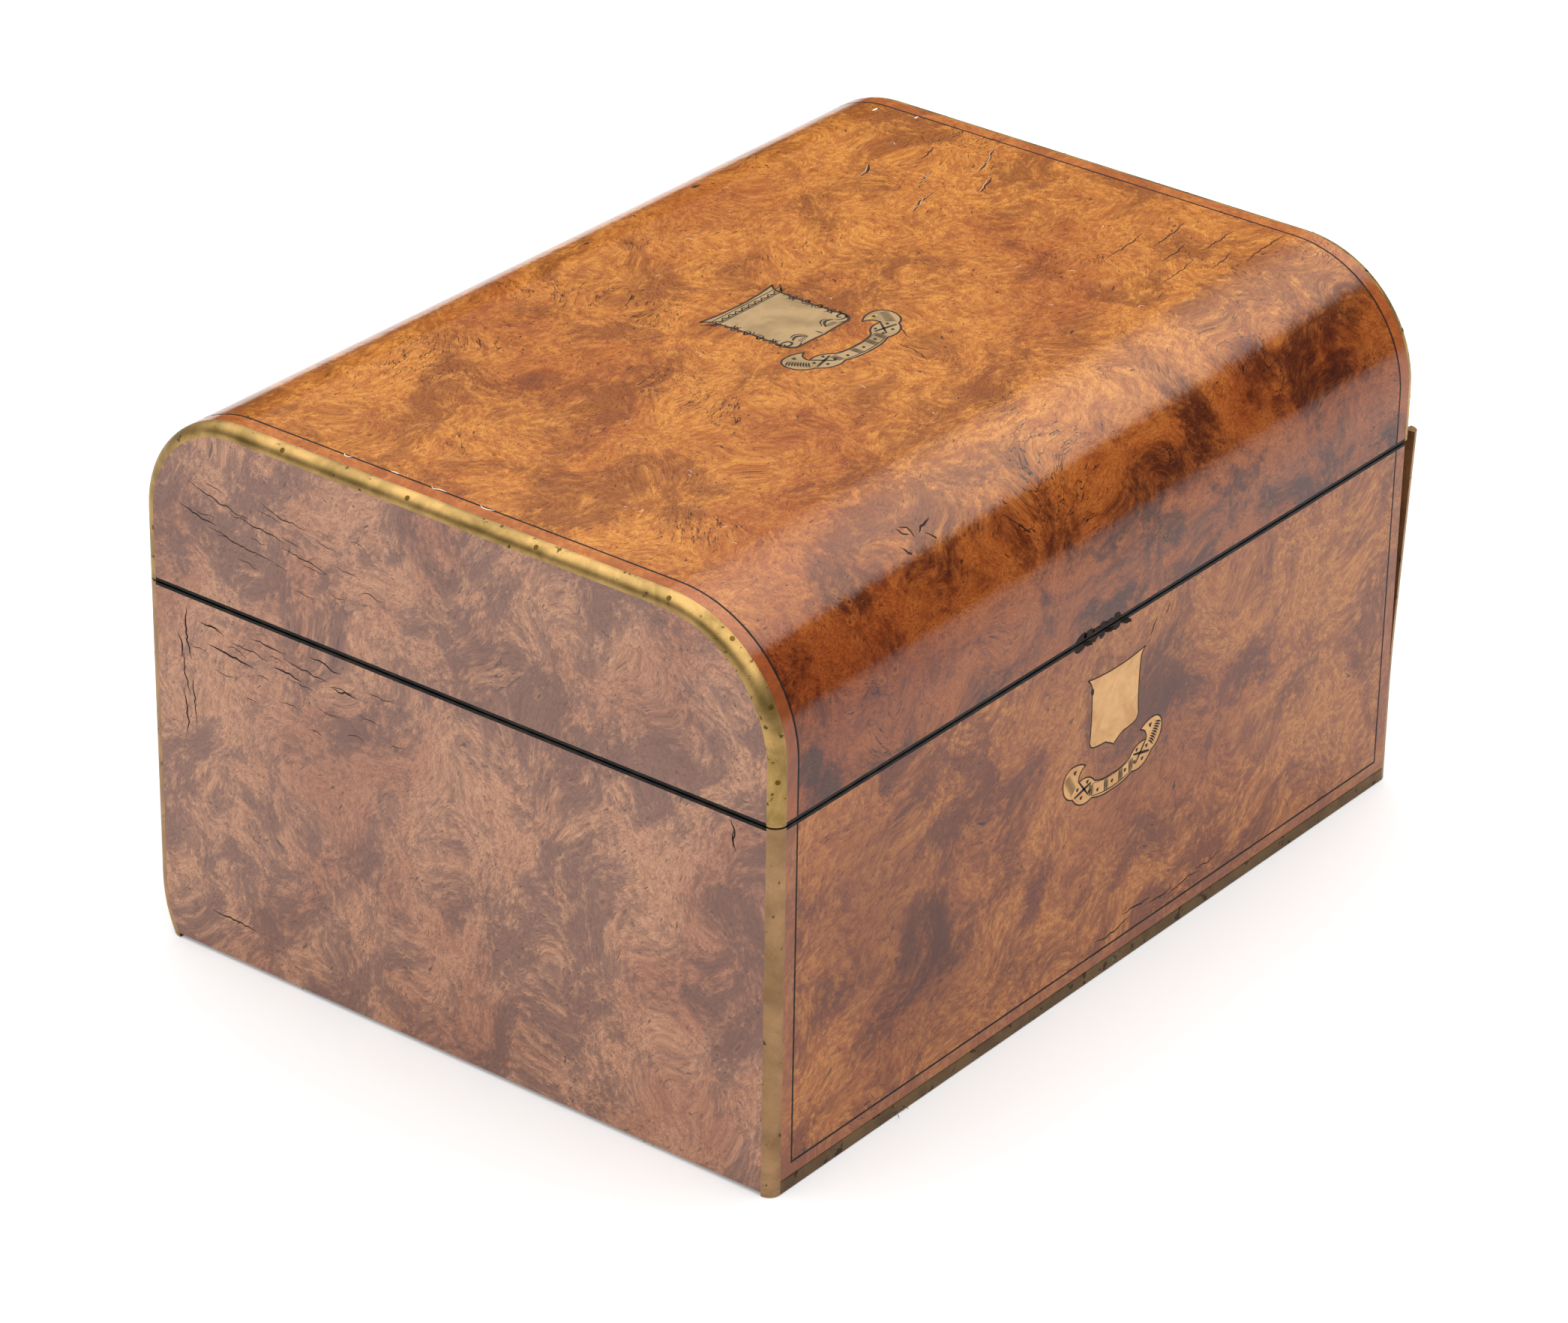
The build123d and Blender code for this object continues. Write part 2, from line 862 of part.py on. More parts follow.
def drawer_lining():
    low = drawer_low + drawer_bottom
    return block((drawer_rear + drawer_side, inner_x), drawer_inside(), (low, low + velvet))


def ring_rolls():
    """Padded half rolls side by side behind the drawer's front, to hold rings between them."""
    low = drawer_low + drawer_bottom + velvet
    y = drawer_inside()
    rolls = []
    for n in range(ring_rolls_count):
        x = inner_x - seat_gap - (n + 0.5) * ring_roll_pitch
        roll_bar = Pos(x, 0, low) * Rot(90, 0, 0) * Cylinder(ring_roll_radius, y[1] - y[0] - 2 * seat_gap)
        rolls.append(roll_bar & block(about(x, ring_roll_pitch), y, (low, drawer_top)))
    return group(*rolls)


# ---- fittings of the case

clear_x = (-inner_x + liner, inner_x - button_ledge)
clear_y = (-inner_y + liner, inner_y - liner)
cell = jar_width + 2 * jar_play
left_divider = clear_x[0] + cell
right_divider = clear_x[1] - cell - partition
tray_x = (left_divider + partition, right_divider)
tray_low = liner_top - tray_height
jar_low = well_floor + seat_gap


def liner_frame():
    """Thin boards that line the case above the dust board. The right one is thicker, for the button."""
    z = (dust_top, liner_top)
    right = block((clear_x[1], inner_x), (-inner_y, inner_y), z)
    right = right - rod_bore((dust_top - 1, liner_top + 1)) - bush_space()
    return group(
        block((-inner_x, clear_x[0]), (-inner_y, inner_y), z),
        right,
        block(clear_x, (-inner_y, clear_y[0]), z),
        block(clear_x, (clear_y[1], inner_y), z),
    )


def jar_cells():
    """Low and high y of each jar's cell, from the back, and of the open cell left in front."""
    cells = []
    high = clear_y[1]
    for n in range(jar_count):
        cells.append((high - cell, high))
        high -= cell + partition
    return [*cells, (clear_y[0], high)]


def well_partitions():
    z = (dust_top, partition_top)
    long_x = [(left_divider, left_divider + partition), (right_divider, right_divider + partition)]
    walls = [block(x, clear_y, z) for x in long_x]
    for low, high in jar_cells()[:-1]:
        walls.append(block((clear_x[0], left_divider), (low - partition, low), z))
    return group(*walls)


def tray_bearers():
    """Thin boards along the long partitions that the tray stands on."""
    z = (dust_top, tray_low - seat_gap)
    return group(
        block((tray_x[0], tray_x[0] + tray_wall), clear_y, z),
        block((tray_x[1] - tray_wall, tray_x[1]), clear_y, z),
    )


def well_lining():
    z = (dust_top, well_floor)
    floors = [block((clear_x[0], left_divider), y, z) for y in jar_cells()]
    floors.append(block((right_divider + partition, clear_x[1]), clear_y, z))
    floors.append(block((tray_x[0] + tray_wall, tray_x[1] - tray_wall), clear_y, z))
    return group(*floors)


def rounded_block(x, y, z, radius):
    body = block(x, y, z)
    return fillet(body.edges().filter_by(Axis.Z), radius)


def jar_middle(n):
    low, high = jar_cells()[n]
    return clear_x[0] + cell / 2, (low + high) / 2


def jar_glass(n):
    """Square outside, round inside, with a round neck."""
    x, y = jar_middle(n)
    shoulder = jar_low + jar_body
    rim = shoulder + neck_height
    body = rounded_block(about(x, jar_width), about(y, jar_width), (jar_low, shoulder), jar_corner)
    body = chamfer(body.faces().sort_by(Axis.Z)[-1].edges(), jar_wall / 4)
    body += Pos(x, y, shoulder + neck_height / 2) * Cylinder(neck_radius, neck_height)
    well = (jar_low + jar_floor, shoulder - jar_wall)
    body -= Pos(x, y, (well[0] + well[1]) / 2) * Cylinder(jar_width / 2 - jar_wall, well[1] - well[0])
    mouth = (well[1] - 1, rim + 1)
    return body - Pos(x, y, (mouth[0] + mouth[1]) / 2) * Cylinder(neck_radius - neck_wall, mouth[1] - mouth[0])


def jar_cap(n):
    """Spun cap with a bevelled shoulder, over the neck."""
    x, y = jar_middle(n)
    low = jar_low + jar_body + seat_gap
    inner = neck_radius + seat_gap
    outer = inner + cap_wall
    crown = neck_height + seat_gap
    half = make_face(Polyline(
        (inner, 0), (outer, 0), (outer, cap_height - cap_bevel), (outer - cap_bevel, cap_height),
        (0, cap_height), (0, crown), (inner, crown), close=True,
    ))
    return Pos(x, y, low) * revolve(Plane.XZ * half, Axis.Z)


brush_x = clear_x[1] - cell / 2
brush_box_length = clear_y[1] - clear_y[0] - 2 * brush_box_play
rim_inset = cap_wall + seat_gap


def brush_box_glass():
    """Long trough with a stepped rim for its cover."""
    shoulder = jar_low + jar_body
    x = about(brush_x, jar_width)
    y = about(0, brush_box_length)
    body = rounded_block(x, y, (jar_low, shoulder), brush_box_corner)
    rim_x = about(brush_x, jar_width - 2 * rim_inset)
    rim_y = about(0, brush_box_length - 2 * rim_inset)
    body += rounded_block(rim_x, rim_y, (shoulder, shoulder + neck_height), brush_box_corner - rim_inset)
    hollow_x = about(brush_x, jar_width - 2 * jar_wall)
    hollow_y = about(0, brush_box_length - 2 * jar_wall)
    return body - block(hollow_x, hollow_y, (jar_low + jar_floor, shoulder + neck_height + 1))


def brush_box_cover():
    low = jar_low + jar_body + seat_gap
    x = about(brush_x, jar_width)
    y = about(0, brush_box_length)
    cover = rounded_block(x, y, (low, low + cap_height - cap_bevel), brush_box_corner)
    cover = chamfer(cover.faces().sort_by(Axis.Z)[-1].edges(), cap_wall * 0.8)
    inside = rounded_block(
        about(brush_x, jar_width - 2 * cap_wall), about(0, brush_box_length - 2 * cap_wall),
        (low - 1, low + neck_height), brush_box_corner - cap_wall,
    )
    return cover - inside


def tray_outside():
    x = (tray_x[0] + tray_play, tray_x[1] - tray_play)
    y = (clear_y[0] + tray_play, clear_y[1] - tray_play)
    return x, y


def tray_cells():
    """One broad cell behind and two in front."""
    (x0, x1), (y0, y1) = tray_outside()
    middle = (x0 + x1) / 2
    wall = tray_wall / 2
    return [
        ((x0 + tray_wall, x1 - tray_wall), (tray_split + wall, y1 - tray_wall)),
        ((x0 + tray_wall, middle - wall), (y0 + tray_wall, tray_split - wall)),
        ((middle + wall, x1 - tray_wall), (y0 + tray_wall, tray_split - wall)),
    ]


def tray_box():
    x, y = tray_outside()
    tray = block(x, y, (tray_low, liner_top))
    for cell_x, cell_y in tray_cells():
        tray -= block(cell_x, cell_y, (tray_low + tray_floor, liner_top + 1))
    return tray


def tray_lining():
    z = (tray_low + tray_floor, tray_low + tray_floor + velvet)
    return group(*[block(x, y, z) for x, y in tray_cells()])


# ---- the whole box

makers = [
    front_board, back_board, left_end_board, right_end_board, base_board, dust_board, drawer_guides,
    base_baize, front_veneer, back_veneer, end_veneers, case_stringing, case_lipping,
    case_corner_strips, sprung_corner_strip, foot_strip, front_shield, front_strap,
    lid_shell, lid_end_boards, lid_veneer, lid_end_veneers, lid_stringing, lid_lipping,
    lid_arch_strips, lid_shield, lid_strap, lid_panel, mirror_frame, mirror_glass,
    hinge_lower_leaves, hinge_upper_leaves, hinge_pins, lock_case, lock_link_plate, lock_bolt,
    drawer_front, drawer_front_veneer, drawer_box, drawer_lining, ring_rolls, drawer_strike,
    catch_spring, kick_spring, button_bush, release_button,
    liner_frame, well_partitions, tray_bearers, well_lining, tray_box, tray_lining,
    brush_box_glass, brush_box_cover,
]

pieces = {make.__name__: make() for make in makers}
for n in range(jar_count):
    pieces[f"jar_{n + 1}_glass"] = jar_glass(n)
    pieces[f"jar_{n + 1}_cap"] = jar_cap(n)

os.makedirs("parts", exist_ok=True)
for name, piece in pieces.items():
    export_step(piece, f"parts/{name}.step")
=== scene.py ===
import random
from math import cos, pi, radians, sin, sqrt, tau

import bmesh
import bpy
from mathutils import Matrix, Vector
from mathutils import noise as hills
from mathutils.bvhtree import BVHTree


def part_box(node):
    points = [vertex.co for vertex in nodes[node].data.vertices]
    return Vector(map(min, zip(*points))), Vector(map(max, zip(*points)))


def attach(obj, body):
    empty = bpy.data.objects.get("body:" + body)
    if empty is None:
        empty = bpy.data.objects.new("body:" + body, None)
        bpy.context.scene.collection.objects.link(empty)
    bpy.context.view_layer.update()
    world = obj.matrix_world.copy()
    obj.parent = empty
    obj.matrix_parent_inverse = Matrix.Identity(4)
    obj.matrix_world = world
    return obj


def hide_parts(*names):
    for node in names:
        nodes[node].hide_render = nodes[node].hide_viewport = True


# Antique dressing box: burr walnut with brass edges. Metres, +X along the front, +Y to the back.
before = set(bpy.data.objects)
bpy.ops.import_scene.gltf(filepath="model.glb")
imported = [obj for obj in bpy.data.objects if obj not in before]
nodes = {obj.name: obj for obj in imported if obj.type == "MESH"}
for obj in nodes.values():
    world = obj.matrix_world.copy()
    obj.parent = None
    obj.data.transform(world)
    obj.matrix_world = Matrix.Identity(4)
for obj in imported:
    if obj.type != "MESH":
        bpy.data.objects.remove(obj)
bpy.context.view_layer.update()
mm = 0.001
print("frame loaded:", len(nodes), "nodes")


def rgb(code):  # colour as it is seen, written as six hex digits
    parts = [int(code[n:n + 2], 16) / 255 for n in (0, 2, 4)]
    return tuple(c / 12.92 if c <= 0.04045 else ((c + 0.055) / 1.055) ** 2.4 for c in parts) + (1.0,)


# ---- camera

lens = {"place": (-1.2247, -0.9410, 0.8932), "yaw": 52.367, "pitch": 28.241, "roll": 0.987,
        "focal": 0.13716, "sensor": 0.036}


def placeCamera():
    data = bpy.data.cameras.new("camera")
    data.sensor_fit = "HORIZONTAL"
    data.sensor_width = lens["sensor"] * 1000
    data.lens = lens["focal"] * 1000
    data.clip_end = 30
    cam = bpy.data.objects.new("camera", data)
    bpy.context.scene.collection.objects.link(cam)
    yaw, pitch, roll = (radians(lens[k]) for k in ("yaw", "pitch", "roll"))
    ahead = Vector((sin(yaw) * cos(pitch), cos(yaw) * cos(pitch), -sin(pitch)))
    right = Vector((cos(yaw), -sin(yaw), 0))
    right = Matrix.Rotation(roll, 3, -ahead) @ right
    turn = Matrix((right, right.cross(ahead), -ahead)).transposed()
    cam.matrix_world = Matrix.Translation(lens["place"]) @ turn.to_4x4()
    bpy.context.scene.camera = cam


# ---- node helpers: each takes the material, and sockets, plain values or colours as hex digits

def node(mat, kind, inputs=None, **settings):
    made = mat.node_tree.nodes.new("ShaderNode" + kind)
    for key, value in settings.items():
        setattr(made, key, value)
    for key, value in (inputs or {}).items():
        feed(mat, made.inputs[key], value)
    return made


def feed(mat, socket, value):
    if isinstance(value, bpy.types.NodeSocket):
        mat.node_tree.links.new(value, socket)
    else:
        socket.default_value = rgb(value) if isinstance(value, str) else value


def calc(mat, how, a, b=0.0, c=0.0):
    return node(mat, "Math", {0: a, 1: b, 2: c}, operation=how).outputs[0]


def times(mat, a, b):
    return calc(mat, "MULTIPLY", a, b)


def blend(mat, a, share, rest):  # a times share, and the rest added
    return calc(mat, "MULTIPLY_ADD", a, share, rest)


def centred(mat, a):
    return calc(mat, "SUBTRACT", a, 0.5)


def straightRays(mat):  # 1 for rays from the camera, also through glass
    rays = node(mat, "LightPath").outputs
    return calc(mat, "MAXIMUM", rays["Is Camera Ray"], rays["Is Transmission Ray"])


def between(mat, value, low, high, start=0.0, stop=1.0):  # smooth step from low to high
    made = node(mat, "MapRange", {0: value, 1: low, 2: high, 3: start, 4: stop})
    made.interpolation_type = "SMOOTHSTEP"
    return made.outputs[0]


def mix(mat, share, a, b, how="MIX"):
    made = node(mat, "Mix", None, data_type="RGBA", blend_type=how)
    for socket, value in ((made.inputs[0], share), (made.inputs[6], a), (made.inputs[7], b)):
        feed(mat, socket, value)
    return made.outputs[2]


def noise(mat, where, size, detail=3.0, rough=0.5, twist=0.0, out=0):
    inputs = {"Vector": where, "Scale": 1 / size, "Detail": detail, "Roughness": rough, "Distortion": twist}
    return node(mat, "TexNoise", inputs).outputs[out]


def ramp(mat, value, low, dark, high, light):  # from one colour at low to the other at high
    made = node(mat, "ValToRGB", {0: value})
    first, last = made.color_ramp.elements
    first.position, first.color = low, rgb(dark)
    last.position, last.color = high, rgb(light)
    return made.outputs[0]


def objectCoords(mat, shift=(0, 0, 0), turn=(0, 0, 0), scale=(1, 1, 1)):
    where = node(mat, "TexCoord").outputs["Object"]
    inputs = {0: where, 1: shift, 2: [radians(a) for a in turn], 3: scale}
    return node(mat, "Mapping", inputs).outputs[0]


def stretch(mat, where, turn, scale):  # longer by scale along axes that are turned first
    inputs = {0: where, 2: [radians(a) for a in turn], 3: scale}
    return node(mat, "Mapping", inputs, vector_type="TEXTURE").outputs[0]


def offset(mat, colour, reach):  # a noise colour as a push of up to reach each way
    centred = node(mat, "VectorMath", {0: colour, 1: (0.5, 0.5, 0.5)}, operation="SUBTRACT").outputs[0]
    return node(mat, "VectorMath", {0: centred, 3: reach * 2}, operation="SCALE").outputs[0]


def bump(mat, height, depth, normal=None):
    inputs = {"Height": height, "Distance": depth, "Strength": 1.0}
    if normal:
        inputs["Normal"] = normal
    return node(mat, "Bump", inputs).outputs[0]


def newFinish(name, **sockets):
    mat = bpy.data.materials.new(name)
    mat.use_nodes = True
    shader = mat.node_tree.nodes["Principled BSDF"]
    for key, value in sockets.items():
        shader.inputs[key.replace("_", " ")].default_value = value
    return mat, shader


def wear(mat, shader, colour, rough=None, height=None, depth=0.0):  # feeds what a finish is made of
    for key, value in (("Base Color", colour), ("Roughness", rough)):
        if value is not None:
            feed(mat, shader.inputs[key], value)
    if height is not None:
        feed(mat, shader.inputs["Normal"], bump(mat, height, depth))
    return mat


def plainFinish(name, colour, **sockets):
    return wear(*newFinish(name, **sockets), colour)


# ---- places on a face, in shares of its box

# the two axes that the shares run along, and which side of its box the face is on
faces = {"lid_veneer": ((0, 1), "high"), "front_veneer": ((0, 2), "low"), "lid_end_veneers": ((1, 2), "low"),
         "end_veneers": ((1, 2), "low"), "front_shield": ((0, 2), "low"), "foot_strip": ((0, 2), "low")}


def spotOn(name, across, rise):
    low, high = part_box(name)
    axes, side = faces[name]
    size, spot = high - low, Vector(high if side == "high" else low)
    for axis, share in zip(axes, (across, rise)):
        spot[axis] = low[axis] + size[axis] * share
    return spot


# ---- burr walnut

walnut = {
    "curl": 0.034, "curlReach": 0.017, "fibre": 0.00055, "fibreStretch": 6, "cloud": 0.026, "blotch": 0.0075,
    "mottle": 0.0024, "swirl": 0.013, "swirls": 10.0, "dash": 0.0010, "eye": 0.0056, "pore": 0.0007,
    "speckle": 0.0010, "rough": 0.50, "coat": 0.85, "coatRough": 0.04,
}

# ground and flame are each a dark and a light tone; lean is the way of the grain, turned from the X axis
leaves = {
    "walnut_lid": {
        "nodes": ("lid_veneer",), "ground": ("97571f", "b4692b"), "flame": ("c27930", "da9441"),
        "deep": (("56230a", "763109"), ("9a4a14", "bc6f31")), "edge": (0.41, 0.59), "lean": (0, 0, 24),
        "shift": (0, 0, 0), "reach": 0.0024, "border": "ad5c30", "cracks": 0.60},
    "walnut_front": {
        "nodes": ("front_veneer",), "ground": ("84421a", "a15722"), "flame": ("b4692c", "cc853f"),
        "edge": (0.425, 0.575), "lean": (0, -28, 0), "shift": (3, 1, 2), "reach": 0.0024, "border": "98583a",
        "cracks": 0.64},
    "walnut_ends": {
        "nodes": ("lid_end_veneers", "end_veneers", "drawer_front_veneer"), "ground": ("8c5f4d", "a6775f"),
        "flame": ("c78b64", "dea47b"), "edge": (0.44, 0.56), "lean": (0, 52, 90), "shift": (1, 4, 2),
        "reach": 0.0026, "paintedHaze": 0.20, "cracks": 0.64},
    "walnut_back": {
        "nodes": ("back_veneer",), "ground": ("7a3f1d", "985227"), "flame": ("b06a32", "cb8746"),
        "edge": (0.41, 0.59), "lean": (0, 12, 0), "shift": (5, 2, 7), "reach": 0.0026, "border": "98583a",
        "paintedHaze": 0.05, "cracks": 0.62},
}
# painted shade: smooth dark patches multiplied into the front's leaf: shares of its length and height, and
# their reach
frontPaintedShade = {"left": (0.13, 0.58, 0.055), "foot": (0.24, 0.28, 0.035), "plates": (0.54, 0.72, 0.050)}
fade = (0.158, 0.1714)  # heights between which the lid's leaf bleaches
borders = {"side": (0.1443, 0.1446), "foot": (0.0082, 0.0079)}  # from the middle and from the foot


def figured(mat, island, slow, fine, ground, flame):  # flames of light wood on a darker ground
    dark = mix(mat, between(mat, slow, 0.40, 0.60), *ground)
    light = mix(mat, between(mat, fine, 0.38, 0.62), *flame)
    return mix(mat, island, dark, light)


def burrWalnut(name):
    leaf, size = leaves[name], walnut
    mat, shader = newFinish(name, Coat_Weight=size["coat"], Coat_Roughness=size["coatRough"], Coat_IOR=1.5,
                            Specular_IOR_Level=0.08)
    flat, lean = objectCoords(mat, leaf["shift"]), leaf["lean"]
    here = node(mat, "TexCoord").outputs["Object"]
    sideways, _, height = node(mat, "SeparateXYZ", {0: here}).outputs
    # the grain bends slowly, and light and dark wood run into each other along its fibres
    curl = offset(mat, noise(mat, flat, size["curl"], 1, 0.5, 0, 1), size["curlReach"])
    curled = node(mat, "VectorMath", {0: flat, 1: curl}, operation="ADD").outputs[0]
    fibres = noise(mat, stretch(mat, curled, lean, (size["fibreStretch"], 1, 1)), size["fibre"], 3, 0.6)
    reach = times(mat, centred(mat, fibres), leaf["reach"] * 2)
    grainWay = node(mat, "Mapping", {0: (1.0, 0.0, 0.0), 2: [radians(a) for a in lean]}).outputs[0]
    barb = node(mat, "VectorMath", {0: grainWay, 3: reach}, operation="SCALE").outputs[0]
    feathered = node(mat, "VectorMath", {0: curled, 1: barb}, operation="ADD").outputs[0]

    clouds = noise(mat, stretch(mat, feathered, lean, (1.5, 1, 1)), size["cloud"], 2, 0.55, 0.4)
    blotch = noise(mat, stretch(mat, feathered, lean, (1.2, 1, 1)), size["blotch"], 3, 0.55, 0.3)
    mottle = noise(mat, feathered, size["mottle"], 3, 0.6)
    tone = times(mat, clouds, 0.43)
    tone = blend(mat, blotch, 0.29, tone)
    tone = blend(mat, mottle, 0.28, tone)
    island = between(mat, tone, *leaf["edge"])
    wood = figured(mat, island, clouds, mottle, leaf["ground"], leaf["flame"])
    dark = leaf["ground"][0]
    if "deep" in leaf:  # the upright and rolled part of the lid has kept its colour
        wavy = blend(mat, centred(mat, blotch), 0.009, height)
        kept = figured(mat, island, clouds, fibres, *leaf["deep"])
        wood = mix(mat, between(mat, wavy, *fade), kept, wood)

    # streaks along the fibres, and hairlines that curl round the burr's knots
    wood = mix(mat, between(mat, fibres, 0.50, 0.64, 0.0, 0.26), wood, dark, "MULTIPLY")
    wood = mix(mat, between(mat, fibres, 0.44, 0.34, 0.0, 0.13), wood, leaf["flame"][1])
    level = times(mat, noise(mat, curled, size["swirl"], 1.5, 0.4), size["swirls"])
    level = calc(mat, "FRACT", blend(mat, fibres, 0.5, level))
    hair = between(mat, calc(mat, "ABSOLUTE", centred(mat, level)), 0.44, 0.49)
    hair = times(mat, hair, between(mat, noise(mat, flat, 0.0052, 3), 0.50, 0.60))
    wood = mix(mat, times(mat, hair, 0.6), wood, dark, "MULTIPLY")
    dashes = between(mat, noise(mat, stretch(mat, curled, lean, (4, 1, 1)), size["dash"], 1), 0.70, 0.76)
    wood = mix(mat, times(mat, dashes, 0.8), wood, "26120a")

    speckle = between(mat, noise(mat, curled, size["speckle"], 2, 0.7), 0.36, 0.64, 0.0, 0.34)
    wood = mix(mat, speckle, wood, "b3806a", "MULTIPLY")
    pores = between(mat, noise(mat, flat, size["pore"], 2, 0.6), 0.58, 0.68, 0.0, 0.5)
    wood = mix(mat, pores, wood, dark, "MULTIPLY")
    smoke = noise(mat, stretch(mat, curled, lean, (1.6, 1, 1)), 0.055, 3, 0.55)
    wood = mix(mat, between(mat, smoke, 0.46, 0.66, 0.0, 0.50), wood, "bb7f66", "MULTIPLY")

    # painted shade: soft dark patches multiplied into the front's leaf round listed places
    if name == "walnut_front":
        for across, rise, reach in frontPaintedShade.values():
            spot = spotOn("front_veneer", across, rise)
            away = node(mat, "VectorMath", {0: here, 1: spot}, operation="DISTANCE").outputs["Value"]
            away = blend(mat, centred(mat, clouds), reach, away)
            wood = mix(mat, between(mat, away, reach, 0.0, 0.0, 0.62), wood, "9c6a4c", "MULTIPLY")

    # small eyes stand in clusters: a dark pip in a pale ring
    cell = node(mat, "TexVoronoi", {"Vector": curled, "Scale": 1 / size["eye"], "Randomness": 1.0}).outputs[0]
    cluster = between(mat, noise(mat, flat, 0.026, 2), 0.50, 0.62)
    ring = times(mat, between(mat, cell, 0.34, 0.24), between(mat, cell, 0.10, 0.2))
    wood = mix(mat, times(mat, ring, times(mat, cluster, 0.18)), wood, leaf["flame"][0])
    pip = times(mat, between(mat, cell, 0.17, 0.05), cluster)
    wood = mix(mat, times(mat, pip, 0.6), wood, dark, "MULTIPLY")

    # fine cracks follow the grain where the veneer has moved
    lines = noise(mat, stretch(mat, curled, lean, (5, 1, 1)), 0.004, 3, 0.55)
    crack = between(mat, calc(mat, "ABSOLUTE", centred(mat, lines)), 0.010, 0.003)
    moved = between(mat, noise(mat, flat, 0.04, 3), leaf["cracks"], leaf["cracks"] + 0.04)
    crack = times(mat, crack, moved)
    wood = mix(mat, times(mat, crack, 0.85), wood, "1d0e07")
    if "border" in leaf:  # plainer, redder borders outside the strings
        outside = between(mat, calc(mat, "ABSOLUTE", sideways), *borders["side"])
        if name != "walnut_lid":
            outside = calc(mat, "MAXIMUM", outside, between(mat, height, *borders["foot"]))
        wood = mix(mat, times(mat, outside, 0.45), wood, leaf["border"])
    # painted reflection haze: a pale pinkish-grey veil mixed into the leaf's colour, for the bright floor
    # seen in its polish
    if "paintedHaze" in leaf:
        wood = mix(mat, leaf["paintedHaze"], wood, "b09488")

    rough = blend(mat, blotch, 0.2, size["rough"] - 0.10)
    rough = blend(mat, crack, 0.3, rough)
    wave = times(mat, noise(mat, flat, 0.010, 3, 0.5), 0.4)
    coatNormal = bump(mat, blend(mat, noise(mat, flat, 0.0012, 2), 0.06, wave), 0.0003)
    feed(mat, shader.inputs["Coat Normal"], coatNormal)
    grainHeight = calc(mat, "SUBTRACT", times(mat, fibres, 0.2), crack)
    feed(mat, shader.inputs["Normal"], bump(mat, grainHeight, 0.00015, coatNormal))
    return wear(mat, shader, wood, rough)


# ---- brass and the other finishes

# bright, olive and stained tone, roughness, where stains begin, size of the clouds, share of metal, the nodes
brasses = {
    "brass_edges": ("cfa766", "8f733f", "463619", 0.38, 0.63, 0.014, 0.75, ("lid_arch_strips",)),
    "brass_corners": ("bb9268", "8d6c49", "43341f", 0.42, 0.64, 0.016, 0.7,
                      ("case_corner_strips", "sprung_corner_strip")),
    "brass_foot": ("806642", "62492e", "35271a", 0.5, 0.6, 0.01, 0.6, ("foot_strip",)),
    "brass_plates": ("e8b87e", "cf9a62", "8a6238", 0.38, 0.72, 0.007, 0.6, ("front_shield", "front_strap")),
    "brass_lid_plates": ("b3946a", "957a52", "66532f", 0.5, 0.70, 0.011, 0.4, ("lid_shield", "lid_strap")),
    "brass_works": ("c8a055", "a07c3c", "4a381c", 0.3, 0.7, 0.01, 0.8, (
        "hinge_lower_leaves", "hinge_upper_leaves", "lock_case", "lock_link_plate", "drawer_strike",
        "button_bush", "release_button", "catch_spring", "kick_spring")),
}


def agedBrass(name, bright, olive, stain, rough, spots, scale, metal):
    mat, shader = newFinish(name, Metallic=metal, Roughness=rough)
    flat = objectCoords(mat)
    cloud = noise(mat, flat, scale, 5, 0.6, 0.4)
    brushed = noise(mat, flat, 0.0004, 2)
    tint = ramp(mat, cloud, 0.36, olive, 0.62, bright)
    tint = mix(mat, between(mat, brushed, 0.35, 0.7, 0.0, 0.25), tint, olive)
    spot = between(mat, noise(mat, flat, 0.0028, 4, 0.55), spots, spots + 0.06)
    rougher = blend(mat, cloud, 0.25, rough - 0.12)
    rougher = blend(mat, spot, 0.2, rougher)
    height = blend(mat, brushed, 0.12, cloud)
    return wear(mat, shader, mix(mat, times(mat, spot, 0.8), tint, stain), rougher, height, 0.00008)


# a noise with its size, detail and roughness, two tones with their places on it, and how far it stands up
clouded = {
    "ebonised": ((0.006, 5, 0.6), (0.45, "0d0c0d", 0.75, "33291f"), 0.0001,
                 {"Roughness": 0.5, "Specular IOR Level": 0.2}),
    "baize": ((0.0009, 3, 0.7), (0.35, "17382c", 0.7, "2f6350"), 0.0005,
              {"Roughness": 0.95, "Sheen Weight": 0.3}),
    "gilt": ((0.006, 4, 0.6), (0.32, "a57a3c", 0.58, "d8a850"), 0.00008, {"Metallic": 1.0, "Roughness": 0.3}),
    "jar_glass": ((0.03, 2, 0.5), (0.4, "e6efe9", 0.6, "f7faf7"), 0.0,
                  {"Roughness": 0.03, "IOR": 1.5, "Transmission Weight": 1.0}),
    "steel": ((0.004, 4, 0.6), (0.4, "5c4a3c", 0.6, "8f8d8a"), 0.00005, {"Metallic": 1.0, "Roughness": 0.35}),
}


def cloudedFinish(name):
    grain, tones, depth, sockets = clouded[name]
    mat, shader = newFinish(name, **sockets)
    clouds = noise(mat, objectCoords(mat), *grain)
    return wear(mat, shader, ramp(mat, clouds, *tones), height=clouds if depth else None, depth=depth)


def carcassWood():
    mat, shader = newFinish("carcass_wood", Roughness=0.5)
    figure = noise(mat, objectCoords(mat, scale=(0.08, 1, 1)), 0.0035, 6, 0.6, 0.6)
    return wear(mat, shader, ramp(mat, figure, 0.3, "6b3f22", 0.7, "99643a"), height=figure, depth=0.00012)


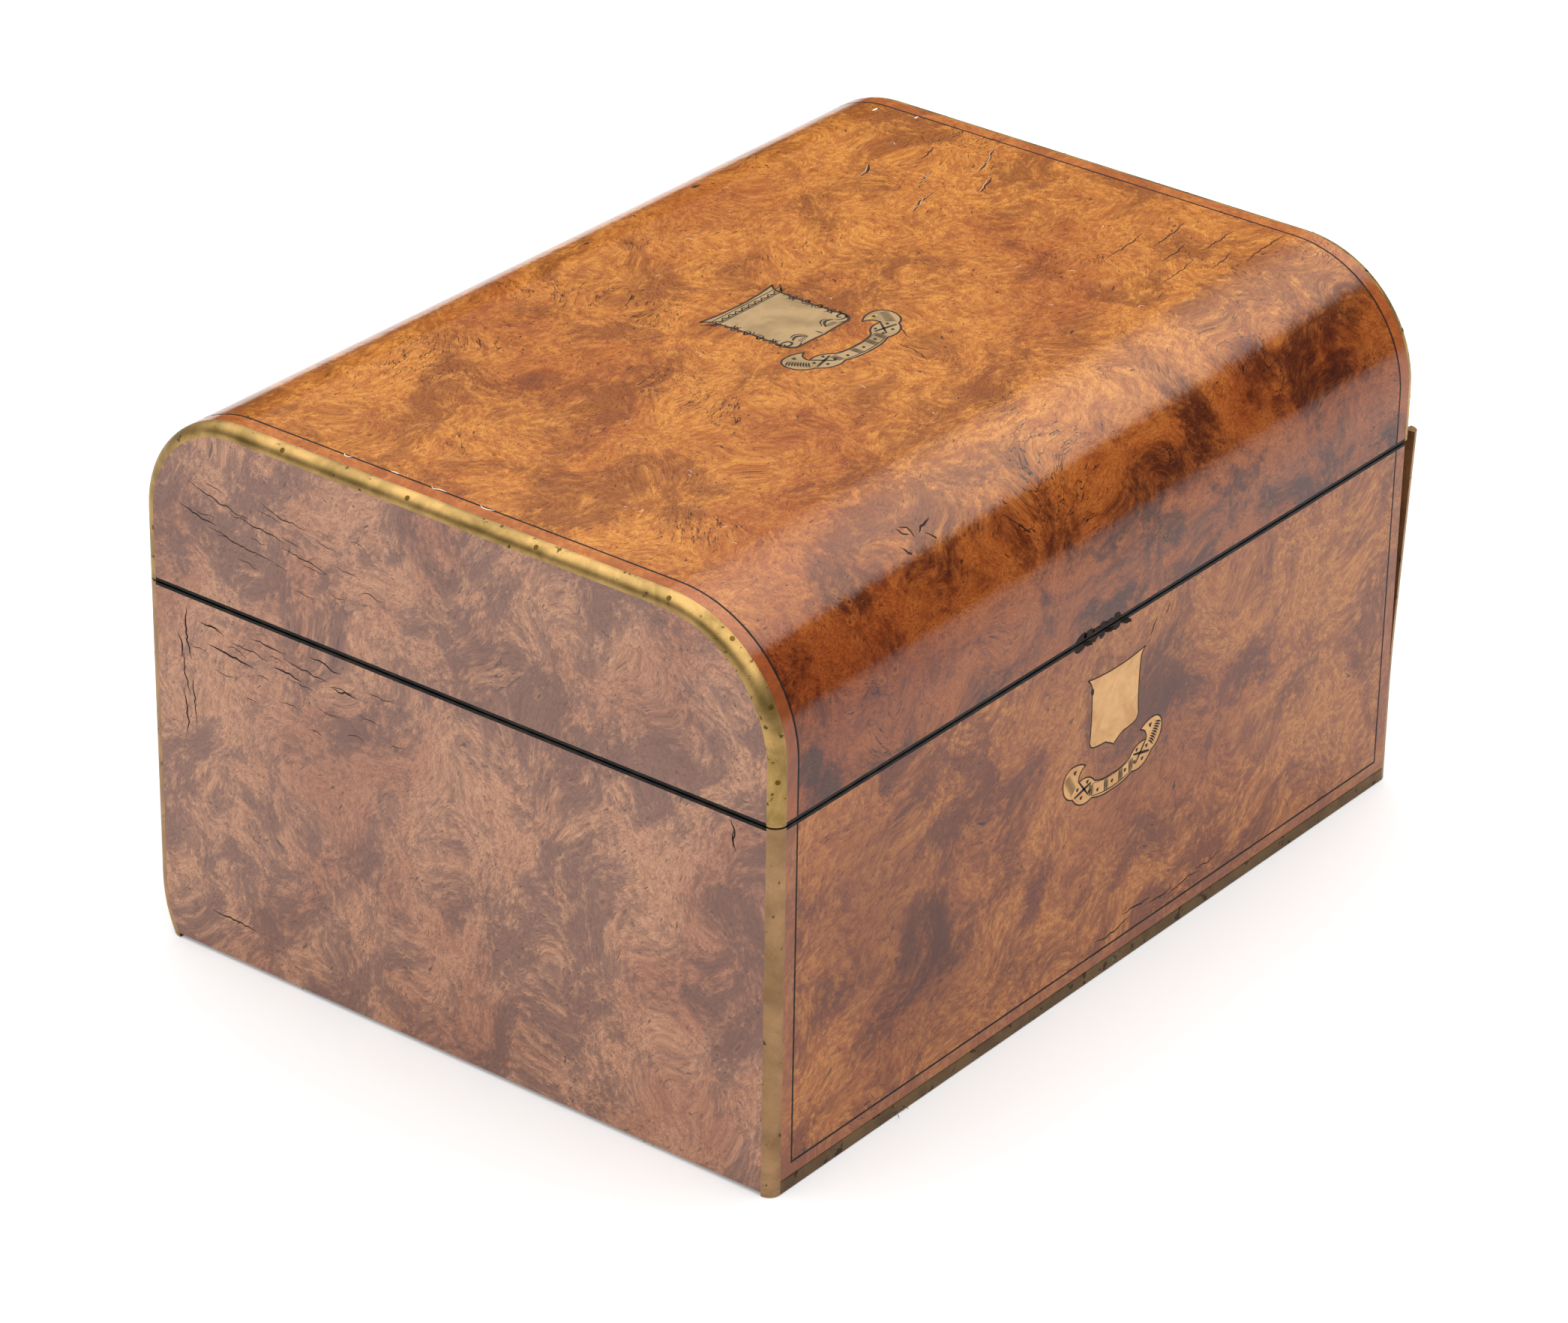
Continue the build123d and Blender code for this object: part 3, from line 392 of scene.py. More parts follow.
def velvet():
    dark, light = "16204f", "39498f"
    mat, shader = newFinish("velvet", Roughness=0.9, Sheen_Weight=0.8, Sheen_Roughness=0.35)
    feed(mat, shader.inputs["Sheen Tint"], light)
    flat = objectCoords(mat)
    pile = noise(mat, flat, 0.0006, 2, 0.6)
    share = blend(mat, pile, 0.5, times(mat, noise(mat, flat, 0.028, 3, 0.5, 0.5), 0.7))
    return wear(mat, shader, ramp(mat, share, 0.4, dark, 0.8, light), height=pile, depth=0.0004)


def silkFinish():
    mat, shader = newFinish("silk", Roughness=0.38, Sheen_Weight=0.4, Sheen_Roughness=0.3)
    flat = objectCoords(mat)
    threads = noise(mat, stretch(mat, flat, (0, 0, 0), (1, 30, 1)), 0.0003, 2)
    share = blend(mat, threads, 0.3, times(mat, noise(mat, flat, 0.05, 3), 0.7))
    return wear(mat, shader, ramp(mat, share, 0.35, "1d2c63", 0.68, "3c4f94"), height=threads, depth=0.00006)


def silverPlate():
    mat, shader = newFinish("silver_plate", Metallic=1.0, Roughness=0.24)
    flat = objectCoords(mat)
    tarnish = noise(mat, flat, 0.016, 3, 0.5)
    return wear(mat, shader, ramp(mat, tarnish, 0.30, "a89c8c", 0.62, "d9d6d0"),
                between(mat, tarnish, 0.35, 0.65, 0.38, 0.2), noise(mat, flat, 0.0007, 2), 0.00002)


def mirrorFinish():
    mat, shader = newFinish("mirror", Metallic=1.0, Roughness=0.04)
    foxed = noise(mat, objectCoords(mat), 0.008, 5, 0.65)
    return wear(mat, shader, ramp(mat, foxed, 0.24, "9c9587", 0.33, "e4e6e4"),
                between(mat, foxed, 0.26, 0.34, 0.3, 0.03))


def giveFinish(mat, *names):  # the CAD nodes keep their meshes and take a better material
    for name in names:
        thing = nodes[name]
        thing.data.materials.clear()
        thing.data.materials.append(mat)


def dressNodes():
    for name, leaf in leaves.items():
        giveFinish(burrWalnut(name), *leaf["nodes"])
    for name, (*look, names) in brasses.items():
        giveFinish(agedBrass(name, *look), *names)
    giveFinish(cloudedFinish("ebonised"), "case_lipping", "lid_lipping", "case_stringing", "lid_stringing")
    giveFinish(cloudedFinish("steel"), "hinge_pins", "lock_bolt")
    giveFinish(cloudedFinish("gilt"), "mirror_frame")
    giveFinish(mirrorFinish(), "mirror_glass")
    giveFinish(cloudedFinish("jar_glass"), "jar_1_glass", "jar_2_glass", "jar_3_glass", "brush_box_glass")
    giveFinish(silverPlate(), "jar_1_cap", "jar_2_cap", "jar_3_cap", "brush_box_cover")
    giveFinish(carcassWood(), "front_board", "back_board", "left_end_board", "right_end_board", "base_board",
               "dust_board", "drawer_guides", "lid_shell", "lid_end_boards", "liner_frame", "well_partitions",
               "tray_bearers", "tray_box", "drawer_front", "drawer_box")
    print("finishes on the CAD pieces")


# ---- shapes

def welded(name):  # a merged copy of a CAD node's mesh
    bm = bmesh.new()
    bm.from_mesh(nodes[name].data)
    bmesh.ops.remove_doubles(bm, verts=bm.verts, dist=1e-6)
    bmesh.ops.recalc_face_normals(bm, faces=bm.faces)
    return bm


def islands(name):  # lowest and highest corner of each loose part of a node
    bm = welded(name)
    seen, boxes = set(), []
    for start in bm.verts:
        if start in seen:
            continue
        seen.add(start)
        group, todo = [], [start]
        while todo:
            vert = todo.pop()
            group.append(vert.co)
            found = [edge.other_vert(vert) for edge in vert.link_edges]
            found = [other for other in found if other not in seen]
            seen.update(found)
            todo.extend(found)
        low, high = (Vector([pick(c[axis] for c in group) for axis in range(3)]) for pick in (min, max))
        boxes.append((low, high))
    bm.free()
    return boxes


def skinOf(name):  # finds the nearest place on a node's surface
    bm = welded(name)
    tree = BVHTree.FromBMesh(bm)
    bm.free()
    return tree


def pieceFrom(bm, name, smooth=False):
    mesh = bpy.data.meshes.new(name)
    bm.to_mesh(mesh)
    bm.free()
    for face in mesh.polygons:
        face.use_smooth = smooth
    thing = bpy.data.objects.new(name, mesh)
    bpy.context.scene.collection.objects.link(thing)
    return thing


def fit(bm, name, mat, body, smooth=False, standsFor=()):
    bmesh.ops.recalc_face_normals(bm, faces=bm.faces)
    piece = pieceFrom(bm, name, smooth)
    piece.data.materials.append(mat)
    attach(piece, body)
    if standsFor:
        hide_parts(*standsFor)
    return piece


def bridge(bm, a, b, closed=True):  # faces between two rows of corners
    count = len(a)
    for k in range(count if closed else count - 1):
        bm.faces.new((a[k], a[(k + 1) % count], b[(k + 1) % count], b[k]))


def skinOver(bm, rows, capped=True):  # faces from each row to the next, and over the two ends
    for a, b in zip(rows, rows[1:]):
        bridge(bm, a, b)
    if capped:
        bm.faces.new(rows[0])
        bm.faces.new(rows[-1])


def ribbon(bm, points, width, outs, lift=0.03 * mm, taper=0.5, closed=False):
    # a thin strip that lies on a face; outs are the face's normals at the points
    last = len(points) - 1
    rows = []
    for n, (point, out) in enumerate(zip(points, outs)):
        before = points[n - 1] if n or closed else point
        after = points[(n + 1) % len(points)] if n < last or closed else point
        across = (after - before).cross(out).normalized()
        half = width / 2 * (1 - taper * abs(2 * n / last - 1) ** 2)
        corners = ((-half, lift), (half, lift), (half, -lift), (-half, -lift))
        rows.append([bm.verts.new(point + across * side + out * up) for side, up in corners])
    skinOver(bm, rows, not closed)
    if closed:
        bridge(bm, rows[-1], rows[0])


def ring(bm, place, across, over, radius, sides):  # corners round a place
    turns = (tau * k / sides for k in range(sides))
    return [bm.verts.new(place + (across * cos(a) + over * sin(a)) * radius) for a in turns]


def tube(bm, points, radius, sides):
    rows = []
    for n, point in enumerate(points):
        ahead = points[min(n + 1, len(points) - 1)] - points[max(n - 1, 0)]
        across = ahead.orthogonal().normalized()
        over = ahead.cross(across).normalized()
        rows.append(ring(bm, point, across, over, radius, sides))
    skinOver(bm, rows)


def disc(bm, place, out, radius, lift, sides):  # a low round head that stands on a face
    across = out.orthogonal().normalized()
    over = out.cross(across)
    rows = []
    for share, height in ((1.0, -lift), (1.0, lift * 0.6), (0.86, lift), (0.4, lift)):
        rows.append(ring(bm, place + out * height, across, over, radius * share, sides))
    skinOver(bm, rows)


# ---- engraving, in shares of a plate's half width and of its height

def plateFrame(name, out, up):  # maps places on a plate to the box's frame
    low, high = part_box(name)
    foot = Vector(((low.x + high.x) / 2, low.y, low.z if out.y else high.z))
    right = Vector(((high.x - low.x) / 2, 0, 0))
    return {"foot": foot, "right": right, "up": up * (high - low).dot(up), "out": out}


def on(plate, u, v):
    return plate["foot"] + plate["right"] * u + plate["up"] * v


boldness = 1.7  # every stroke of the graver is widened by it


def graver(bm, plate):  # makes a function that cuts one stroke into the plate
    def cut(path, width, taper=0.6):
        points = [on(plate, u, v) for u, v in path]
        ribbon(bm, points, width * boldness * mm, [plate["out"]] * len(points), taper=taper)
    return cut


def toward(a, b, share):  # a place on the way from a to b
    return a[0] + (b[0] - a[0]) * share, a[1] + (b[1] - a[1]) * share


def line(a, b, count=5):
    return [toward(a, b, n / count) for n in range(count + 1)]


def bow(a, b, sag, count=8):  # a line that swells to one side by sag
    length = sqrt((b[0] - a[0]) ** 2 + (b[1] - a[1]) ** 2)
    side = ((a[1] - b[1]) / length, (b[0] - a[0]) / length)
    return [(x + side[0] * sag * sin(pi * n / count), y + side[1] * sag * sin(pi * n / count))
            for n, (x, y) in enumerate(line(a, b, count))]


def curl(centre, size, start, turns):  # a spiral that winds inwards
    path, count = [], 16
    for n in range(count + 1):
        share = n / count
        angle = tau * (start + turns * share)
        reach = 1 - 0.75 * share
        path.append((centre[0] + size[0] * reach * cos(angle), centre[1] + size[1] * reach * sin(angle)))
    return path


def wedge(cut, u, v, size):  # a small nick, broad at one end
    cut(line((u - 0.6 * size, v + size), (u + 0.2 * size, v - size), 4), 0.55, 0.9)
    cut(line((u + 0.1 * size, v + size), (u + 0.5 * size, v), 4), 0.4, 0.9)


strapCuts = {
    "cross": (((0.43, 0.44), (0.76, 0.32), 0.55), ((0.68, 0.61), (0.48, 0.22), 0.42)),
    "nicks": ((0.5, 0.50), (0.70, 0.46), (0.46, 0.27), (0.62, 0.24)),
    "bars": (-0.42, -0.115, 0.18, 0.385), "barNicks": ((-0.285, 0.19), (0.01, 0.18), (0.27, 0.23)),
    "neckStart": ((0.86, 0.86), (0.73, 0.55)), "neckStop": ((0.98, 0.78), (0.83, 0.40)),
    "eye": (0.76, 0.85),
}


def bandRow(u):  # middle line of the strap's band at u
    return 0.17 + 0.5 * u * u


def engraveStrap(plate, name, mat, body, bold):  # the neck at the side bold has the broad hatch
    bm, cuts = bmesh.new(), strapCuts
    cut = graver(bm, plate)
    for side in (-1, 1):
        for start, stop, width in cuts["cross"]:
            cut(line((start[0] * side, start[1]), (stop[0] * side, stop[1])), width, 0.4)
        for u, v in cuts["nicks"]:
            wedge(cut, u * side, v, 0.035)
        wedge(cut, cuts["eye"][0] * side, cuts["eye"][1], 0.045)
        count, width = (9, 0.36) if side == bold else (13, 0.14)
        for n in range(count):
            ends = [toward(*cuts[key], n / (count - 1)) for key in ("neckStart", "neckStop")]
            cut(bow(*((u * side, v) for u, v in ends), 0.012 * side, 6), width, 0.85)
    for middle in cuts["bars"]:
        for n in range(4):
            u = middle + 0.024 * (n - 1.5)
            cut(line((u, bandRow(u) - 0.10), (u, bandRow(u) + 0.13)), 0.24 if n < 3 else 0.14, 0.3)
    for u, v in cuts["barNicks"]:
        wedge(cut, u, v, 0.035)
    for rise, width in ((-0.115, 0.22), (0.145, 0.12)):
        path = [(u, bandRow(u) + rise) for u in (n / 20 * 0.4 for n in range(-20, 21))]
        cut(path, width, 0.5)
    return fit(bm, name, mat, body)


def engraveShield(plate, name, mat, body):
    bm = bmesh.new()
    cut = graver(bm, plate)
    for v in (0.905, 0.845, 0.825):
        cut(line((-1.0, v + 0.02), (1.0, v + 0.02), 12), 0.2, 0.1)
    zigs = 22
    path = [(-0.98 + 1.96 * n / zigs, 0.88 + 0.02 * (-1) ** n) for n in range(zigs + 1)]
    cut(path, 0.34, 0.1)
    for side in (-1, 1):
        cut(line((side * 0.86, 0.83), (side * 1.1, 0.96)), 0.35)
        for n in range(9):  # loops down the side, each third one wound up
            low = 0.79 - 0.072 * n
            inner = 0.78 - 0.08 * (n % 3 == 1)
            cut(bow((side * inner, low), (side * inner, low - 0.068), 0.10 * side), 0.32)
            if n % 2 == 1:
                cut(curl((side * 0.83, low - 0.034), (0.11, 0.036), 0.25, 1.4 * side), 0.3)
        cut(bow((side * 0.88, 0.20), (side * 0.52, 0.05), 0.10 * side), 0.4)
        cut(curl((side * 0.74, 0.12), (0.17, 0.06), 0.5, 1.2 * side), 0.45)
        cut(bow((side * 0.56, 0.13), (side * 0.24, 0.085), -0.05 * side), 0.55)
        cut(bow((side * 0.50, 0.18), (side * 0.22, 0.12), -0.04 * side), 0.3)
        for n in range(5):
            u = side * (0.5 - 0.05 * n)
            cut(line((u, 0.05 + 0.005 * n), (u - 0.04 * side, 0.11)), 0.2)
    cut(line((0, 0.02), (0, 0.10)), 0.3)
    return fit(bm, name, mat, body)


def rimLoops(name, out):  # the outlines of a node's faces that look along out, as lists of places
    bm = welded(name)
    flat = [face for face in bm.faces if face.normal.dot(out) > 0.99]
    reach = max(face.calc_center_median().dot(out) for face in flat)
    flat = {face for face in flat if face.calc_center_median().dot(out) > reach - 0.1 * mm}
    rim = [edge for edge in bm.edges if sum(face in flat for face in edge.link_faces) == 1]
    links = {}
    for edge in rim:
        a, b = edge.verts
        links.setdefault(a, []).append(b)
        links.setdefault(b, []).append(a)
    loops = []
    while links:
        start = next(iter(links))
        loop, here = [], start
        while here in links:
            loop.append(here.co.copy())
            ways = links.pop(here)
            here = next((way for way in ways if way in links), start)
        loops.append(loop)
    bm.free()
    return loops


rimStep = 0.8 * mm


def grimeRim(name, out, width):  # dirt in the joint between an inlaid plate and the wood
    bm = bmesh.new()
    for loop in rimLoops(name, out):
        dense = []
        for a, b in zip(loop, loop[1:] + loop[:1]):
            steps = max(1, int((b - a).length / rimStep))
            dense.extend(a.lerp(b, n / steps) for n in range(steps))
        dense = [p for p, q in zip(dense, dense[1:] + dense[:1]) if (p - q).length > 0.05 * mm]
        ribbon(bm, dense, width, [out] * len(dense), 0.02 * mm, 0.0, closed=True)
    return bm


# places in shares of the plate, then width and depth in millimetres
plateMarks = {"polish": ((0.74, 0.86), (2.6, 0.9)), "stain": ((0.09, 0.83), (0.9, 1.4))}


def engravePlates():
    dark = plainFinish("graver_black", "22180c", Roughness=0.7)
    forward, upward = Vector((0, -1, 0)), Vector((0, 0, 1))
    frontStrap = plateFrame("front_strap", forward, upward)
    lidStrap = plateFrame("lid_strap", upward, -forward)
    lidShield = plateFrame("lid_shield", upward, -forward)
    engraveStrap(frontStrap, "front_strap_engraving", dark, "case", 1)
    engraveStrap(lidStrap, "lid_strap_engraving", dark, "lid", -1)
    engraveShield(lidShield, "lid_shield_engraving", dark, "lid")
    grime = plainFinish("grime", "2a1a10", Roughness=0.8)
    rims = (("front_shield", forward, "case", 0.42), ("front_strap", forward, "case", 0.45),
            ("lid_shield", upward, "lid", 0.7), ("lid_strap", upward, "lid", 0.6))
    for name, out, body, width in rims:
        fit(grimeRim(name, out, width * mm), name + "_rim", grime, body)
    polished = plainFinish("polished_brass", "e0b860", Metallic=0.8, Roughness=0.35)
    place, size = plateMarks["polish"]
    bm = bmesh.new()
    patch(bm, skinOf("lid_strap"), on(lidStrap, *place), size, random.Random(5), 0.02 * mm)
    fit(bm, "lid_strap_polish", polished, "lid")
    place, size = plateMarks["stain"]
    bm = bmesh.new()
    patch(bm, skinOf("front_shield"), spotOn("front_shield", *place), size, random.Random(3))
    fit(bm, "front_shield_stain", grime, "case")
    print("plates engraved")


# ---- age: cracks, chips and scratches in the veneer

# a field spreads its cracks over a part of a face: the face, two spans in shares of it, the count, the spans
# of length and width in millimetres, and the slant in degrees
crackFields = {
    "lidEnd": ("lid_end_veneers", (0.72, 0.94), (0.35, 0.70), 6, (9, 28), (0.30, 0.45), 8),
    "lidEndHairs": ("lid_end_veneers", (0.62, 0.92), (0.25, 0.70), 16, (4, 9), (0.18, 0.22), 6),
    "endSeam": ("end_veneers", (0.66, 0.92), (0.88, 0.97), 8, (9, 22), (0.30, 0.65), 5),
    "endHairs": ("end_veneers", (0.58, 0.94), (0.76, 0.95), 16, (4, 11), (0.20, 0.24), 3),
    "endBackEdge": ("end_veneers", (0.935, 0.965), (0.62, 0.92), 5, (8, 20), (0.35, 0.70), 86),
    "endFoot": ("end_veneers", (0.86, 0.90), (0.10, 0.14), 1, (17, 19), (0.45, 0.50), 4),
    "endFrontCorner": ("end_veneers", (0.045, 0.055), (0.93, 0.96), 2, (6, 8), (0.45, 0.60), 82),
    "topRightBack": ("lid_veneer", (0.80, 0.95), (0.55, 0.75), 6, (9, 21), (0.45, 0.90), 18),
    "topRightFront": ("lid_veneer", (0.83, 0.95), (0.18, 0.34), 7, (11, 24), (0.35, 0.50), 7),
    "topMiddle": ("lid_veneer", (0.51, 0.57), (0.32, 0.40), 2, (11, 20), (0.32, 0.42), 70),
    "frontEar": ("front_veneer", (0.555, 0.60), (0.91, 0.96), 2, (3, 6), (0.30, 0.45), 62),
    "frontFoot": ("front_veneer", (0.50, 0.70), (0.065, 0.10), 5, (7, 18), (0.30, 0.55), 2),
}
lips = {"over": 0.5, "width": 0.3, "shift": -0.4, "lift": 0.07}  # pale edges beside cracks wider than over
liftedBurr = {"across": 0.26, "back": 0.07, "height": 0.85, "arms": 7,  # on the front roll
              "bare": (1, 6), "length": (6, 15), "width": (0.45, 0.80)}
# chips in the joint above and below the shield's ears: the first one's place from the middle, the step to the
# next, the height from the joint, and the spans of width and depth, all in millimetres
jointChips = {
    "case": {"count": 7, "from": -17.0, "step": 3.6, "rise": -0.9, "wide": (1.8, 3.6), "deep": (0.9, 2.3)},
    "lid": {"count": 6, "from": -16.0, "step": 3.4, "rise": 1.2, "wide": (2.0, 3.8), "deep": (0.8, 1.8)},
}


def crackEnds(field, n, draw):  # two places beyond the face that the crack's ends lie on
    name, across, rise, count, lengths, _, slant = field
    spans = ((across, 1 / count), (rise, 0.618))
    shares = [start + (stop - start) * ((n + 0.5) * step % 1.0) for (start, stop), step in spans]
    length, tilt = draw.uniform(*lengths) * mm, radians(slant + draw.uniform(-5, 5))
    middle, way = spotOn(name, *shares), Vector()
    for axis, part in zip(faces[name][0], (cos(tilt), sin(tilt))):
        way[axis] = part
    return middle - way * length / 2, middle + way * length / 2


def crack(bm, skin, start, stop, sag, width, draw, shift=0.0, lift=0.03 * mm):
    count = max(4, int((stop - start).length / (1.1 * mm)))
    out = skin.find_nearest((start + stop) / 2)[1]
    side = (stop - start).cross(out).normalized()
    points, outs, drift = [], [], 0.0
    for n in range(count + 1):
        share = n / count
        drift = drift * 0.7 + draw.uniform(-0.5, 0.5) * mm
        spot = start.lerp(stop, share) + side * ((sag * mm + drift) * sin(pi * share) + shift)
        place, normal, _, _ = skin.find_nearest(spot)
        points.append(place)
        outs.append(normal)
    ribbon(bm, points, width * mm, outs, lift, 0.85)


def patch(bm, skin, middle, size, draw, lift=0.03 * mm, below=None, above=None):
    # a small flat chip with a ragged edge, kept below or above a height where one is given
    place, out, _, _ = skin.find_nearest(middle)
    across = Vector((1, 0, 0)) if abs(out.x) < 0.7 else Vector((0, 1, 0))
    over = out.cross(across).normalized()
    rows = []
    reaches = [(size[0] * draw.uniform(0.6, 1.0), size[1] * draw.uniform(0.6, 1.0)) for _ in range(11)]
    for height in (-lift, lift):
        row = []
        for n, (wide, tall) in enumerate(reaches):
            angle = tau * n / len(reaches)
            corner = place + out * height + (across * wide * cos(angle) + over * tall * sin(angle)) * mm
            if below is not None:
                corner.z = min(corner.z, below)
            if above is not None:
                corner.z = max(corner.z, above)
            row.append(bm.verts.new(corner))
        rows.append(row)
    skinOver(bm, rows)


def chipJoint(bm, skin, side, joint, draw, **limit):
    low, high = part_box("lid_veneer")
    row = jointChips[side]
    for n in range(row["count"]):
        size = (draw.uniform(*row["wide"]), draw.uniform(*row["deep"]))
        x = (low.x + high.x) / 2 + (row["from"] + row["step"] * n) * mm
        patch(bm, skin, Vector((x, low.y, joint + row["rise"] * mm)), size, draw, **limit)


def crackVeneer(draw):
    black = plainFinish("crack_black", "22120a", Roughness=0.85)
    pale = plainFinish("raw_wood", "c9a07a", Roughness=0.8)
    skins = {name: skinOf(name) for name in ("lid_veneer", "lid_end_veneers", "end_veneers", "front_veneer")}
    top = skins["lid_veneer"]
    lidBm, caseBm, lipBm = bmesh.new(), bmesh.new(), bmesh.new()
    for field in crackFields.values():
        name, count, widths = field[0], field[3], field[5]
        for n in range(count):
            ends = crackEnds(field, n, draw)
            sag, width = draw.uniform(-0.8, 0.8), draw.uniform(*widths)
            crack(lidBm if name.startswith("lid") else caseBm, skins[name], *ends, sag, width, draw)
            if width > lips["over"] and name == "lid_veneer":  # the veneer has lifted beside a wide crack
                crack(lipBm, top, *ends, sag, lips["width"], draw, lips["shift"] * mm, lips["lift"] * mm)

    burr = liftedBurr
    low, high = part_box("lid_veneer")
    spot = low + Vector(burr[key] * side for key, side in zip(("across", "back", "height"), high - low))
    middle = top.find_nearest(spot)[0]
    for n in range(burr["arms"]):
        turn = tau * n / burr["arms"] + draw.uniform(-0.7, 0.7)
        bend = turn + draw.uniform(-0.9, 0.9)
        ends = []
        for angle, reach in ((bend, burr["bare"]), (turn, burr["length"])):
            way = Vector((cos(angle), 0.6 * sin(angle), 0.8 * sin(angle)))
            ends.append(middle + way * draw.uniform(*reach) * mm)
        crack(lidBm, top, *ends, draw.uniform(-2, 2), draw.uniform(*burr["width"]), draw)
    fit(lidBm, "lid_cracks", black, "lid")
    fit(lipBm, "lid_crack_lips", pale, "lid", True)
    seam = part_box("case_lipping")[1].z
    chipJoint(caseBm, skins["front_veneer"], "case", seam, draw, below=seam)
    fit(caseBm, "case_cracks", black, "case")


chips = {  # shares of the top from left to right and from front to back, width and depth in millimetres
    "backEdge": (0.70, 0.88, 2.2, 1.5), "backPip": (0.52, 0.87, 1.2, 0.8),
}
flecks = {
    "rightCorner": (0.97, 0.85, 1.8, 0.5), "rightEdge": (0.98, 0.79, 1.4, 0.4),
}
scratches = {"count": 26, "across": (0.06, 0.94), "back": (0.15, 0.84), "length": (0.8, 2.8), "width": 0.16}
stringGaps = {"count": 4, "from": 0.46, "step": 0.075, "length": 5.0, "width": 0.45}
verdigris = {"right": 7.0, "size": (0.9, 0.8)}  # on the foot strip, from its middle


def chipVeneer(draw):
    black = plainFinish("chip_black", "22120a", Roughness=0.85)
    white = plainFinish("old_filler", "e6dccb", Roughness=0.9)
    skin = skinOf("lid_veneer")
    low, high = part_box("lid_veneer")
    chipBm, whiteBm = bmesh.new(), bmesh.new()
    for bm, spots in ((chipBm, chips), (whiteBm, flecks)):
        for across, back, wide, deep in spots.values():
            patch(bm, skin, spotOn("lid_veneer", across, back), (wide, deep), draw)
    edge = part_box("lid_lipping")[0].z
    chipJoint(chipBm, skin, "lid", edge, draw, above=edge)
    fit(chipBm, "lid_chips", black, "lid")
    for _ in range(scratches["count"]):  # little scratches through the polish
        middle = spotOn("lid_veneer", draw.uniform(*scratches["across"]), draw.uniform(*scratches["back"]))
        turn = draw.uniform(0, pi)
        half = Vector((cos(turn), sin(turn), 0)) * draw.uniform(*scratches["length"]) * mm / 2
        crack(whiteBm, skin, middle - half, middle + half, 0.2, scratches["width"], draw)
    gaps = stringGaps
    left = min((a.x + b.x) / 2 for a, b in islands("lid_stringing") if b.z > high.z - mm)
    for n in range(gaps["count"]):
        y = low.y + (high - low).y * (gaps["from"] + gaps["step"] * n)
        reach = gaps["length"] * draw.uniform(0.4, 1.2) * mm
        ends = [Vector((left, at, high.z)) for at in (y, y + reach)]
        crack(whiteBm, skin, *ends, 0.0, gaps["width"], draw, 0.0, 0.05 * mm)
    fit(whiteBm, "lid_scratches", white, "lid")

    bm = bmesh.new()
    spot = spotOn("foot_strip", 0.5, 0.5) + Vector((verdigris["right"] * mm, 0, 0))
    patch(bm, skinOf("foot_strip"), spot, verdigris["size"], draw)
    green = plainFinish("verdigris", "4f7a5e", Roughness=0.9)
    fit(bm, "foot_strip_verdigris", green, "case")


def ageVeneer():
    draw = random.Random(12)
    crackVeneer(draw)
    chipVeneer(draw)
    print("veneer aged")


# ---- soft linings

def spread(low, high, edge, step):  # places from low to high, close together near both ends
    near = [edge * share for share in (0.0, 0.12, 0.4, 1.0)]
    count = max(2, int((high - low - 2 * edge) / step))
    middle = [low + edge + (high - low - 2 * edge) * n / count for n in range(1, count)]
    return [low + d for d in near] + middle + [high - d for d in reversed(near)]


def rounded(distance, radius):  # height of a rounded edge, from 0 at the edge to 1
    share = min(distance / radius, 1.0)
    return sqrt(1 - (1 - share) ** 2)


def addPad(bm, low, high, step, dent, seed):  # a closed pad with soft edges and a slightly uneven top
    edge = (high.z - low.z) * 0.8
    xs, ys = spread(low.x, high.x, edge, step), spread(low.y, high.y, edge, step)
    rows = []
    for x in xs:
        row = []
        for y in ys:
            inward = min(x - low.x, high.x - x, y - low.y, high.y - y)
            dip = dent * (0.5 + 0.5 * hills.noise(Vector((x / 0.02, y / 0.02, seed))))
            height = (high.z - low.z - dip) * (0.15 + 0.85 * rounded(inward, edge))
            row.append(bm.verts.new((x, y, low.z + height)))
        rows.append(row)
    for a, b in zip(rows, rows[1:]):
        bridge(bm, a, b, closed=False)
    rim = rows[0] + [row[-1] for row in rows[1:-1]] + rows[-1][::-1] + [row[0] for row in rows[-2:0:-1]]
    foot = [bm.verts.new((vert.co.x, vert.co.y, low.z)) for vert in rim]
    bridge(bm, rim, foot)
    bm.faces.new(foot)


velvetPad = {"step": 3.5 * mm, "dip": 0.25 * mm}
baizePad = {"step": 12 * mm, "dip": 0.05 * mm}


def velvetPads(mat):
    pads = (("well_lining", "well_velvet", "case"), ("tray_lining", "tray_velvet", "tray"),
            ("drawer_lining", "drawer_velvet", "drawer"))
    for name, pieceName, body in pads:
        bm = bmesh.new()
        for n, (low, high) in enumerate(islands(name)):
            addPad(bm, low, high, velvetPad["step"], velvetPad["dip"], n * 7.0)
        piece = fit(bm, pieceName, mat, body, True, (name,))


rolls = {"around": 14, "along": 90, "end": 3.5 * mm, "pucker": 0.06, "puckerLength": 6 * mm, "gather": 0.03}


